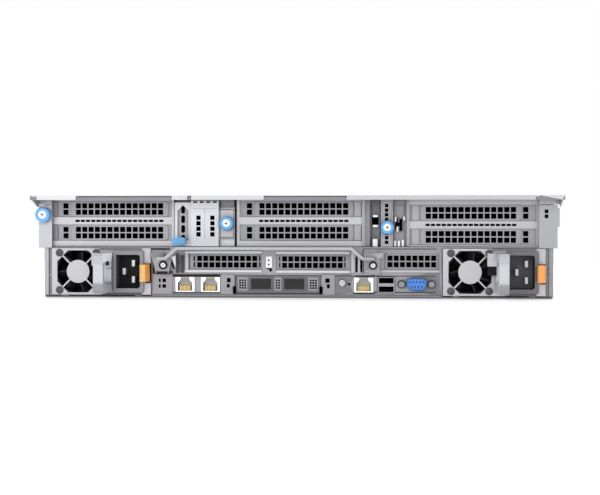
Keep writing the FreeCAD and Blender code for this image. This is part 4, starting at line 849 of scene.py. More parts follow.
@dataclass
class Thumbscrew:
    """Blue captive screw: ribbed ring, pale inner face and a cross recess."""

    body: str
    node: str
    radius: float
    rib_count: int = 44
    rib_depth: float = 0.22

    def build(self) -> None:
        """Makes the ring, the face and the recess in place of the plain cap."""
        low, high = (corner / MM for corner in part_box(self.node))
        x, z = (low.x + high.x) / 2, (low.z + high.z) / 2
        front, back = low.y, low.y + 7.3
        inner = self.radius * 0.54
        outline = []
        for i in range(self.rib_count * 2):
            radius = self.radius - (self.rib_depth if i % 2 else 0)
            outline += circle(x, z, radius, self.rib_count * 2)[i:i + 1]
        ring = Shape()
        ring.prism(Axis.Y, outline, (back, front + 1.0))
        ring.prism(Axis.Y, circle(x, z, self.radius - 0.25, 48), (front + 1.0, front + 0.2), inset=0.7)
        ring.piece(f"{self.node}_ring", BLUE, 0.08, self.body)
        face = Shape()
        disc = [(inner, front + 1.0), (inner, front + 0.1), (inner - 0.4, front), (0, front)]
        face.lathe(Axis.Y, (x, z), disc, 36)
        face.lathe(Axis.Y, (x, z), [(2.0, back), (2.0, back + 4.5), (1.5, back + 5.2), (0, back + 5.2)], 24)
        made = face.piece(f"{self.node}_face", SCREW_WHITE, 0.05, self.body)
        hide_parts(self.node)
        cross = Shape()
        reach = inner * 0.5
        cross.box((x - reach, x + reach), (front - 0.04, front + 0.4), (z - 0.42, z + 0.42))
        cross.box((x - 0.42, x + 0.42), (front - 0.05, front + 0.41), (z - reach, z + reach))
        cross.piece(f"{self.node}_recess", CROSS_BROWN, 0.05, self.body)


@dataclass
class RearFrame:
    """Pan, header, corner brackets, cover and the small fasteners on them."""

    rivet_radius: float = 2.0
    liner_width: float = 2.3

    def build(self) -> None:
        """Paints the sheets and adds rivets, screws and seams."""
        # The floor's rear edge is painted dark as painted shadow.
        floor_edge_shadow = rear_faces(y=rear(-1, 1.5), z=(-1, 1.3))
        # The pan's left rear flange is painted lighter and the right one darker, as painted light and shade.
        left_flange = rear_faces(x=(-220, 0), y=rear(-1, 1.5), z=(2, 90))
        right_flange = rear_faces(x=(0, 220), y=rear(-1, 1.5), z=(2, 90))
        paint("chassis_pan", PAN_ZINC, 0.3, [
            (FLANGE_LIT, left_flange), (FLANGE_SHADED, right_flange), (RAIL_DARK, floor_edge_shadow)])
        lip = rear(-22, -18)
        # The header's upper rear faces take the lip's half-lit tone as painted light.
        paint("rear_header", HEADER_ZINC, 0.15, [
            (LIP_EDGE, rear_faces(y=lip, z=(80, 85.6))), (LIP_HALF_LIT, rear_faces(z=(85.6, 88)))])
        # The right corner bracket is painted darker than the left as painted shade, and the walls of its
        # holes unlit black as painted shade.
        paint("corner_bracket_left", BRACKET_LIT, 0.25)
        paint("corner_bracket_right", BRACKET_SHADED, 0.25, [
            (UNLIT_BLACK, both(inside(x=(209.0, 213.0), z=(68, 75)), sideways))])
        # Painted light: the cover's rear lip is painted lighter towards its left end.
        lips = ((LIP_LIT, (-225, -150)), (LIP_HALF_LIT, (-150, 40)), (LIP_ZINC, (40, 210)))
        faces = [(finish, rear_faces(x=x, y=lip)) for finish, x in lips]
        # The cover's edges in its notches are painted dark as painted shade.
        notch = rear_faces(y=rear(-13, -7))
        paint("main_cover", COVER_WHITE, 0.2, [(COVER_TOP, facing(z=1))] + faces + [(EDGE_SHADE, notch)])
        paint("cover_latch", BLACK, 0.3)
        paint("power_bay_frame", HEADER_ZINC, 0.15)
        ridge = inside(y=rear(-1, 0.9), z=(20, 42))
        plate = rear_faces(y=rear(-1, 0.9), z=(2, 20.5))
        # Walls of the plates' holes are painted unlit black as painted shade.
        holes = both(inside(y=rear(0.5, 2), z=(7.5, 17)), self.port_holes())
        near_button = rear_faces(x=(31, 47.5), y=rear(0.9, 1.1), z=(2, 20))
        near_end = rear_faces(x=(105, 124), y=rear(0.9, 1.1), z=(2, 20))
        paint("io_panel", PANEL_ZINC, 0.12, [
            (BRIGHT_ZINC, ridge), (PLATE_ZINC, plate), (UNLIT_BLACK, holes), (DIM_ZINC, near_button),
            (DIM_ZINC, near_end)])
        feet = rear_faces(y=rear(-6.5, -4.5), z=(15, 35.4))
        tabs = rear_faces(x=(-126, -110), y=rear(-6.5, -4.5), z=(33, 41))
        far = both(inside(y=rear(-25.3, -24.7)), lambda c, _: c.x > 59.8 or c.x < -117)
        paint("rear_strap", STRAP_ZINC, 0.2, [(FOOT_ZINC, feet), (TAB_ZINC, tabs), (PANEL_ZINC, far)])
        self.rivets()
        self.strap_screws()
        self.latch_grip()
        self.liners()
        self.base_rail()
        self.hole_shade_backs()

    @staticmethod
    def port_holes() -> FaceTest:
        """Test for walls of the holes in the raised plates of the port row.

        Returns:
            The test.
        """
        spans = ((-119, -110), (-60, -54), (24.5, 31))
        return lambda c, n: sideways(c, n) and any(a < c.x < b for a, b in spans)

    def liners(self) -> None:
        """Grey guide strips in the gaps beside the power supplies."""
        shape = Shape()
        for side in (-1, 1):
            x = sorted((side * 213.3, side * (213.3 - self.liner_width)))
            shape.box((x[0], x[1]), rear(1.6, 2.4), (1.6, 42.4))
        shape.piece("bay_liners", LINER_GREY, 0.1)

    def base_rail(self) -> None:
        """Folded foot of the rear panel, with the dark joint above it."""
        wide = (-123.2, 123.2)
        Shape().box(wide, rear(0.1, 0.95), (1.3, 2.3)).piece("panel_foot", LINER_GREY, 0.15)
        Shape().box(wide, rear(0.7, 0.98), (2.3, 3.1)).piece("panel_joint", RAIL_DARK, 0.0)

    def hole_shade_backs(self) -> None:
        """Unlit black backs right behind the small holes of plates and brackets, painted shade so the holes
        look dark.
        """
        shape = Shape().layer(rear(2.25, 2.6), (
            ((-119, -111), (7.5, 17)), ((-60, -54.5), (8, 17.5)), ((24.5, 31), (8, 17.2)),
            ((44, 47.4), (10.6, 13.4))))
        shape.box((208.5, 213.2), rear(0.05, 0.3), (67.4, 75.4)).piece("hole_shade_backs", UNLIT_BLACK, 0.0)

    def rivets(self) -> None:
        """Rows of rivets along both side walls."""
        shape = Shape()
        for side in (-1, 1):
            base = side * HALF
            for y in spread(7, 88, -20):
                for z in (9.0, 60.0):
                    rim, dome = (self.rivet_radius, base), (self.rivet_radius * 0.8, base + side * 0.5)
                    shape.lathe(Axis.X, (y, z), [rim, dome, (0, base + side * 0.7)], 20)
        shape.piece("side_rivets", PIN_STEEL, 0.0)

    def strap_screws(self) -> None:
        """Black washers with bright screws on the strap's feet."""
        washers, heads = Shape(), Shape()
        for x, z, radius in ((-112.8, 28.0, 3.8), (65.8, 28.0, 3.6)):
            washers.ring(Axis.Y, (x, z), radius * 0.55, radius, rear(-6.7, -6.2))
            screw(heads, x, z, REAR - 6.2, radius * 0.6, 1.6)
        washers.piece("strap_washers", BLACK, 0.1)
        heads.piece("strap_screws", SCREW_WHITE, 0.05)

    def latch_grip(self) -> None:
        """Blue touch point on the cover latch."""
        low, high = (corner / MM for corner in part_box("cover_latch"))
        shape = Shape()
        shape.prism(Axis.Z, rounded(0, low.y + 8, 34, 9, 2), (high.z - 0.1, high.z + 0.35))
        for y in spread(3, 2.4, low.y + 8):
            shape.box((-15, 15), (y - 0.4, y + 0.4), (high.z + 0.3, high.z + 0.55))
        shape.piece("cover_latch_grip", BLUE, 0.15, "cover_latch_lever")


@dataclass
class Risers:
    """Riser cages, slot covers and what is dark behind them."""

    rows: dict[str, Span] = field(default_factory=lambda: {
        "riser_cage_left": (-212.4, -104.8), "riser_cage_middle": (-50.9, 62.9),
        "riser_cage_right": (94.0, 205.6)})
    dash: tuple[float, float] = (3.9, 2.0)
    dash_pitch: float = 4.55
    rim: float = 0.27

    def build(self) -> None:
        """Paints the cages and covers and adds the backing, dashes, posts and fingers."""
        channel = rear_faces(x=(62, 71), y=rear(10, 16))
        # The clip tab on the middle cage is painted cover white as a painted highlight.
        tab = inside(x=(65, 70), y=rear(2, 12.5), z=(43, 51))
        screw_plate = rear_faces(x=(-66, -52), y=rear(1, 2))
        boot_back = rear_faces(x=(-66, -52), y=rear(3, 4.5))
        side = rear_faces(x=(-213, -206.5), y=rear(3, 20))
        paint("riser_cage_left", CAGE_ZINC, 0.2, [(SIDE_ZINC, side)])
        paint("riser_cage_middle", CAGE_ZINC, 0.2, [
            (POST_DARK, channel), (COVER_WHITE, tab), (RIGHT_ZINC, screw_plate), (BOOT_WHITE, boot_back)])
        column = rear_faces(x=(72, 83), y=rear(0, 2))
        recess = rear_faces(x=(82, 94.5), y=rear(10, 16))
        # Walls of the square holes in the right cage are painted unlit black as painted shade.
        squares = both(inside(x=(75, 79), y=rear(1.1, 2.1)), sideways)
        paint("riser_cage_right", RIGHT_ZINC, 0.2, [
            (PANEL_ZINC, column), (SIDE_ZINC, recess), (UNLIT_BLACK, squares)])
        # Walls of the covers' vents are painted unlit black as painted shade.
        walls = both(
            inside(y=rear(1.6, 6.1)), lambda c, n: sideways(c, n) and self.in_field(c))
        pads = rear_faces(y=rear(3, 3.8))
        low_pads = rear_faces(y=rear(1, 1.8))
        paint("slot_covers", SLOT_ZINC, 0.05, [(UNLIT_BLACK, walls), (PAD_ZINC, pads), (PAD_ZINC, low_pads)])
        paint("riser_boards", BOARD_GREEN, 0.1)
        self.backing()
        self.dashes()
        self.posts()
        self.slivers()
        self.fingers()
        self.vent_rim_shades()

    def vent_rim_shades(self) -> None:
        """Drawn-in edges of the square vents, painted unlit black as painted shade."""
        shape = Shape()
        for middle, end, drop in ((-152.55, -199.4, 0.0), (6.45, -40.1, 0.0), (148.15, 194.3, RIGHT_DROP)):
            for z in (row - drop for row in VENT_ROWS):
                self.rim_row(shape, spread(14, 5.5, middle), z, REAR + 4.5)
                self.rim_row(shape, [end], z, REAR + 5.2)
        for z, middle, columns in zip(LOW_VENT_ROWS, (-58.8, 14.2, 98.55), (10, 10, 8)):
            self.rim_row(shape, spread(columns, 5.27, middle), z, REAR + 1.5)
        shape.piece("vent_rim_shades", UNLIT_BLACK, 0.0)

    def rim_row(self, shape: Shape, columns: Sequence[float], middle: float, plane: float) -> None:
        """Adds two rows of rims.

        Args:
            shape: what to add them to.
            columns: the vents' middles along X.
            middle: height between the two rows.
            plane: where the sheet's face lies along Y.
        """
        for x in columns:
            for z in (middle - 2.75, middle + 2.75):
                outer, inner = (
                    [(x - half, z - half), (x + half, z - half), (x + half, z + half), (x - half, z + half)]
                    for half in (1.95 + self.rim, 1.93))
                PortRow.rim(shape, outer, inner, (plane + 0.1, plane - 0.04))

    @staticmethod
    def in_field(centre: Vector) -> bool:
        """Tells whether a point lies within a vent field rather than on a cover's rim.

        Args:
            centre: the point.
        Returns:
            Whether it does.
        """
        upper = ((-204, -115, 0.0), (-45, 44, 0.0), (110, 198, RIGHT_DROP))
        lower = ((-84.6, -33.2), (-11.8, 39.6), (77.6, 118.8))
        for low, high, drop in upper:
            if low < centre.x < high and min(abs(centre.z - z + drop) for z in VENT_ROWS) < VENT_FIELD:
                return True
        return any(
            low < centre.x < high and abs(centre.z - z) < VENT_FIELD
            for (low, high), z in zip(lower, LOW_VENT_ROWS))

    def backing(self) -> None:
        """Painted shade: unlit black sheets right behind the covers, so that the vents look into the dark."""
        shape = Shape()
        for low, high in self.rows.values():
            shape.box((low + 2, high - 3), rear(6.3, 6.7), (44.6, 83.0))
        for low, high in ((-95.2, -29.2), (-17.0, 46.2), (74.8, 121.5)):
            shape.box((low, high), rear(3.3, 3.7), (22.5, 39.5))
        shape.box((74.5, 79.5), rear(2.3, 2.6), (44.5, 83))
        shape.piece("vent_shade_backs", UNLIT_BLACK, 0.0)
        seal = Shape().box((-103.5, -66.2), rear(8, 20), (83.1, 84.2))
        seal.piece("bay_seal", BOOT_WHITE, 0.1)

    def dashes(self) -> None:
        """Row of short slits along the strip between each pair of covers, filled unlit black as painted
        shade.
        """
        shape = Shape()
        for middle, z in ((-152.5, 65.6), (6.45, 65.6), (148.15, 62.2)):
            for x in spread(17, self.dash_pitch, middle):
                shape.prism(Axis.Y, rounded(x, z, *self.dash, 0.7, 3), rear(3.96, 4.3))
        shape.piece("strip_slits", UNLIT_BLACK, 0.0)

    def posts(self) -> None:
        """Ribbed cover ends, bright posts and dark channels beside the screw column."""
        rise = (43.9, 83.8)
        bright = Shape().layer(rear(3.4, 4.0), (((56.1, 58.7), rise), ((94.3, 96.4), rise)))
        bright.piece("cover_posts", POST_ZINC, 0.15)
        Shape().box((58.8, 62.7), rear(3.7, 4.0), rise).piece("cover_channels", POST_DARK, 0.1)
        ribs, lining = Shape(), Shape()
        for z in (75.8, 55.5):
            ribs.box((49.6, 55.4), rear(4.4, 5.2), (z - 6.6, z + 6.6))
            ribs.box((98.6, 104.4), rear(4.4, 5.2), (z - 10.0, z + 3.2))
            lining.box((-210.4, -206.3), rear(3.88, 4.0), (z - 6.4, z + 6.4))
        lining.piece("cover_lining", LIP_EDGE, 0.0)
        # The gap beside the boot bay is filled unlit black as painted shade.
        waisted = [(-52.6, 44.2), (-51.7, 44.2), (-51.9, 66.0), (-51.7, 83.8), (-52.9, 83.8), (-52.5, 66.0)]
        Shape().prism(Axis.Y, waisted, rear(3.6, 3.9)).piece("boot_bay_gap", UNLIT_BLACK, 0.0)
        ribs.piece("cover_ribs", RIB_ZINC, 0.2)

    def slivers(self) -> None:
        """Narrow end slits beside the vent fields of the low covers, filled unlit black as painted shade."""
        shape = Shape()
        for x, top in ((-87.3, 33.5), (-30.9, 33.5), (-13.8, 33.2), (41.7, 33.2)):
            for z in (top, top - 5.3):
                shape.box((x - 0.45, x + 0.45), rear(1.4, 2.6), (z - 1.9, z + 1.9))
        shape.piece("end_slits", UNLIT_BLACK, 0.0)

    def fingers(self) -> None:
        """Spring fingers along the top of each cage."""
        shape = Shape()
        for low, high in self.rows.values():
            count = int((high - low - 8) / 9)
            for x in spread(count, 9, (low + high) / 2):
                shape.box((x - 3.2, x + 3.2), rear(5.6, 9), (83.9, 84.1))
        shape.piece("spring_fingers", PIN_STEEL, 0.0)


@dataclass
class ScrewColumn:
    """Catches and tabs on both sides of the column's thumbscrew, the metal tabs painted white and glowing as
    painted highlights.
    """

    def build(self) -> None:
        """Makes the catches, their metal rollers and tabs painted white and glowing as painted highlights,
        the opening filled unlit black as painted shade, and the recess's lines.
        """
        rollers, tabs, lines = Shape(), Shape(), Shape()
        for z in (69.7, 61.3):
            rollers.prism(Axis.Y, rounded(67.4, z, 4.6, 1.8, 0.8, 4), rear(8.6, 12.9))
        for x, z in ((84.0, (65.0, 69.0)), (85.6, (56.6, 60.6)), (91.4, (66.0, 69.4))):
            tabs.box((x, x + 1.3), rear(8.8, 12.8), z)
        for x, z in ((83.4, (43.9, 48.6)), (86.6, (43.9, 48.6)), (90.0, (43.9, 49.4))):
            tabs.box((x, x + 1.8), rear(9.8, 12.8), z)
        for x in (83.2, 92.4):
            lines.layer(rear(12.5, 12.8), [((x - 0.2, x + 0.2), z) for z in ((49.5, 57.6), (68.0, 79.6))])
        for z in (57.5, 68.2, 79.5):
            lines.box((83.2, 92.4), rear(12.5, 12.8), (z - 0.2, z + 0.2))
        Shape().box((64.7, 70.2), rear(12.6, 12.9), (62.6, 68.5)).piece("column_opening", UNLIT_BLACK, 0.0)
        rollers.piece("column_roller_highlights", TAB_HIGHLIGHT, 0.3)
        catch = Shape().layer(rear(9.6, 12.8), (((84.4, 86.3), (58.2, 68.4)), ((88.0, 90.2), (57.0, 67.2))))
        catch.box((86.0, 88.4), rear(10.2, 12.8), (61.6, 63.8)).piece("column_catch", UNLIT_BLACK, 0.1)
        tabs.piece("column_tab_highlights", TAB_HIGHLIGHT, 0.15)
        lines.piece("recess_lines", POST_DARK, 0.0)


@dataclass
class LowSlots:
    """Small parts around the low slots: key plate, hook, divider and lever."""

    plane: float = REAR + 1.0

    def build(self) -> None:
        """Makes each of them."""
        y = self.plane
        # Painted highlight: a glowing white fin, with painted shadow round it and under the strap's foot.
        fin = Shape().prism(Axis.Y, [(-106.6, 34.4), (-103.2, 25.4), (-103.0, 36.0)], (y - 0.9, y - 0.1))
        fin.piece("slot_fin", TAB_HIGHLIGHT, 0.1)
        shade = [
            (-108.8, 35.2), (-108.2, 32.6), (-107.2, 29.6), (-105.4, 24.5), (-103.9, 24.7), (-107.1, 34.3)]
        foot = REAR - 6.2
        fin_shadow = Shape().prism(Axis.Y, shade, (y - 0.5, y - 0.05))
        fin_shadow.box((-118.8, -108.9), (foot - 0.15, foot + 0.1), (20.1, 22.7))
        fin_shadow.box((-123.2, -120.2), (y - 0.12, y - 0.02), (20.2, 33.5))
        fin_shadow.piece("slot_fin_shadow", GAP_SHADE_DEEP, 0.0)
        key = Shape().prism(Axis.Y, rounded(-22.9, 30.5, 5.4, 9.8, 0.8), (y - 0.9, y))
        key.piece("key_plate", COVER_WHITE, 0.15)
        # Holes and gaps round the key plate and slots are filled unlit black as painted shade.
        dark = Shape()
        for z in (32.0, 28.5):
            dark.lathe(Axis.Y, (-23.1, z), [(0.75, y - 0.9), (0.75, y - 0.95), (0, y - 0.95)], 16)
        dark.layer((y - 0.5, y - 0.02), (((-22.6, -20.6), (22.6, 25.2)), ((-24.8, -22.2), (24.5, 25.3))))
        dark.layer((y - 0.06, y - 0.01), (
            ((50.9, 52.5), (22.2, 35.2)), ((55.0, 56.6), (22.2, 35.2)), ((-92.0, -91.5), (22, 39))))
        dark.piece("low_slot_gaps", UNLIT_BLACK, 0.0)
        divider = Shape().layer((y - 1.4, y), (((47.2, 50.1), (21.6, 39.5)), ((52.9, 54.6), (21.6, 38.0))))
        divider.box((-95.0, -92.0), (y - 0.7, y), (21.9, 39.0)).box((59.7, 121.6), (y - 0.9, y), (21.9, 23.8))
        divider.piece("slot_divider", LIP_ZINC, 0.2)
        blade = [(-102.8, 21.2), (-100.2, 21.2), (-100.2, 34.0), (-101.2, 37.6), (-102.2, 37.6), (-102.8, 34)]
        lever = Shape().prism(Axis.Y, blade, (y - 2.2, y - 0.4))
        lever.box((-98.8, -95.9), (y - 1.5, y - 0.02), (21.2, 36.0)).piece("slot_lever", GAP_SHADE_DARK, 0.2)
        strip = Shape().layer((y - 0.8, y), (((68.9, 121.9), (39.6, 41.2)), ((121.6, 123.0), (21.0, 41.2))))
        strip.piece("low_cover_frame", PLATE_ZINC, 0.2)


@dataclass
class BootCartridge:
    """Boot drive module with its pull tab."""

    body: str = "boot_cartridge"

    def build(self) -> None:
        """Paints it, its vents' walls unlit black as painted shade, and adds its unlit black backing as
        painted shade, the recess beside it and their seams.
        """
        arch = rear_faces(x=(-103, -91), y=rear(3, 4))
        walls = both(inside(x=(-103, -66), y=rear(1.1, 4.4)), self.hole_wall)
        paint("boot_module", BOOT_WHITE, 0.15, [(PANEL_ZINC, arch), (UNLIT_BLACK, walls)])
        paint("boot_pull_tab", BLUE, 0.3)
        backing = Shape().box((-100.4, -93.6), rear(4.45, 4.8), (48, 80))
        backing.box((-88.6, -67.6), rear(2.05, 2.4), (46, 82.4)).piece("boot_shade_backing", UNLIT_BLACK, 0.0, self.body)
        liner = Shape().box((-65.3, -52.6), rear(5.3, 6.0), (76.6, 83.9))
        liner.box((-52.4, -51.1), rear(8.0, 8.5), (44, 83.9)).piece("boot_recess", POST_DARK, 0.1)
        ledge = Shape().box((-104.0, -90.4), rear(8, 9), (78, 84.1))
        ledge.box((-66.0, -65.5), rear(1.6, 2.6), (44.2, 83.2)).piece("bay_ledge", LIP_EDGE, 0.1)
        Shape().box((-104.75, -104.1), rear(4.6, 5.2), (44.2, 81.4)).piece("bay_filler", CAGE_ZINC, 0.05)
        seam = Shape().layer(rear(1.25, 1.5), (
            ((-64.9, -64.5), (51.4, 75.2)), ((-53.5, -53.1), (51.4, 75.2)),
            ((-64.9, -53.1), (51.2, 51.6)), ((-64.9, -53.1), (74.9, 75.3))))
        seam.piece("screw_plate_seam", GAP_SHADE_DARK, 0.0)
        lines = Shape().layer(rear(0.93, 1.0), (
            ((-89.0, -68.0), (76.1, 76.3)), ((-78.2, -78.0), (50.0, 76.2))))
        lines.piece("boot_lines", PLATE_ZINC, 0.0, self.body)

    @staticmethod
    def hole_wall(centre: Vector, normal: Vector) -> bool:
        """Tells whether a face is a wall of one of the vents.

        Args:
            centre: the face's centre.
            normal: the way it faces.
        Returns:
            Whether it is.
        """
        if abs(normal.y) > SIDEWAYS:
            return False
        squares = any(abs(centre.x - x) < 2.2 for x in (-83.5, -71.5)) and 51 < centre.z < 71
        slits = -88 < centre.x < -67 and 80.5 < centre.z < 82.7
        oblongs = -99.0 < centre.x < -95.2 and centre.y > REAR + 3.5 and 46 < centre.z < 80
        return squares or slits or oblongs


@dataclass
class PowerSupply:
    """Hot-swap power supply."""

    number: int
    left: float
    middle: float = 22.2
    fan_offset: float = 22.8
    screw_reach: float = 16.0
    inlet_offset: float = 66.5
    lens: Point = (79.5, 6.0)

    @property
    def body(self) -> str:
        """CAD body of this supply.

        Returns:
            Its name.
        """
        return f"psu_{self.number}"

    def build(self) -> None:
        """Paints its nodes and adds screws, light and details."""
        name = self.body
        frame_test = inside(x=(self.left + 1.2, self.left + 44), y=rear(0.9, 30), z=(3.3, 41.1))
        paint(f"{name}_case", CASE_ZINC, 0.12, [(BLACK, frame_test)])
        comb = inside(x=(self.left + 36, self.left + 44.4), z=(19, 27.7))
        # The handle's side faces and its upper and lower slanted faces are painted darker as painted shade;
        # on the first supply the upper part of the side is painted lighter and glows as painted light.
        side = both(facing(x=1), inside(x=(self.left + 50, self.left + 60)))
        upper = both(inside(y=rear(-42, -38), z=(31, 43)), slanted)
        lower = both(inside(y=rear(-42, -38), z=(1, 12.8)), slanted)
        # Nothing lies below the floor, so the second supply leaves this slot unused.
        lit = both(side, inside(z=(31, 43))) if self.number == 1 else inside(z=(-9, -8))
        paint(f"{name}_handle", HANDLE_GREY, 0.35, [
            (BLACK, comb), (HANDLE_SIDE_SHADE, side), (HANDLE_UP_SHADE, upper), (HANDLE_LOW_SHADE, lower), (HANDLE_LIT, lit)])
        # Painted light: the left wall of the first supply's inlet recess and the back of the second's are
        # painted lit grey, the other walls black.
        cup = inside(y=rear(-1.0, 30))
        wall = both(facing(x=1), inside(x=(self.left + 56, self.left + 56.6), y=rear(0, 17)))
        bottom = rear_faces(y=rear(15, 17))
        bright = wall if self.number == 1 else bottom
        pins = both(inside(y=rear(3.1, 15)), self.near_pins())
        # The second supply's inlet flange is painted darker than the first's, as painted shade.
        flange = FLANGE_GREY if self.number == 1 else CARD_GREY
        paint(f"{name}_inlet", flange, 0.15, [(BLACK, cup), (RECESS_LIT, bright), (PIN_STEEL, pins)])
        # On the first supply the latch's slanted faces are painted lighter as painted highlight.
        light = both(inside(x=(self.left + 77, self.left + 82.4)), slanted)
        paint(f"{name}_latch", ORANGE, 0.3, [(ORANGE_HIGHLIGHT, light)] if self.number == 1 else [])
        paint(f"{name}_rotor", BLACK, 0.1)
        self.shade_bands()
        self.screws()
        self.lamp()

    def shade_bands(self) -> None:
        """Painted shadow along the face's top edge under the shelf and beside the handle, painted shade along
        its foot, and the grip's slot and the gap under the latch.
        """
        shade, foot, slot = Shape(), Shape(), Shape()
        x = self.left
        shade.box((x + 41.0, x + 78.4), rear(-0.12, 0.2), (40.3, 42.1))
        shade.box((x + 53.4, x + 54.6), rear(-0.12, 0.2), (4.2, 40.3))
        foot.box((x + (43.0 if self.number == 1 else 52.0), x + 78.4), rear(-0.12, 0.2), (2.3, 4.0))
        slot.box((x + 81.4, x + 85.8), rear(-0.35, 0.1), (12.3, 14.2))
        if self.number == 1:
            side = x + 52.7
            slot.box((side - 0.1, side + 0.15), rear(-27, -15), (28.0, 31.6))
            slot.box((side - 0.1, side + 0.12), rear(-27, -2), (25.2, 25.6))
            slot.box((side - 0.1, side + 0.12), rear(-27, -2), (12.4, 12.8))
        shade.piece(f"{self.body}_edge_shade_bands", SHADE_GREY, 0.1, self.body)
        foot.piece(f"{self.body}_foot_shade_band", FOOT_SHADE, 0.1, self.body)
        slot.piece(f"{self.body}_gaps", GAP_SHADE_DEEP, 0.0, self.body)

    def near_pins(self) -> FaceTest:
        """Test for faces of the three contact pins.

        Returns:
            The test.
        """
        x, z = self.left + self.inlet_offset, self.middle
        spots = ((x - 4.2, z), (x + 3.8, z + 7.0), (x + 3.8, z - 7.0))
        return lambda c, _: any(abs(c.x - u) < 1.5 and abs(c.z - v) < 3.0 for u, v in spots)

    def screws(self) -> None:
        """Four dark round fan fasteners."""
        shape = Shape()
        x, z, reach = self.left + self.fan_offset, self.middle, self.screw_reach
        profile = [(3.3, REAR), (3.3, REAR - 0.3), (2.9, REAR - 0.55), (0, REAR - 0.7)]
        for u in (x - reach, x + reach):
            for v in (z - reach, z + reach):
                shape.lathe(Axis.Y, (u, v), profile, 28)
        shape.piece(f"{self.body}_fan_screws", SCREW_DARK, 0.0, self.body)

    def lamp(self) -> None:
        """Small status lens beside the handle."""
        shape = Shape()
        x, z = self.lens
        shape.lathe(Axis.Y, (self.left + x, z), [(1.2, REAR), (1.2, REAR - 0.3), (0, REAR - 0.5)], 20)
        shape.piece(f"{self.body}_lens", LENS, 0.0, self.body)


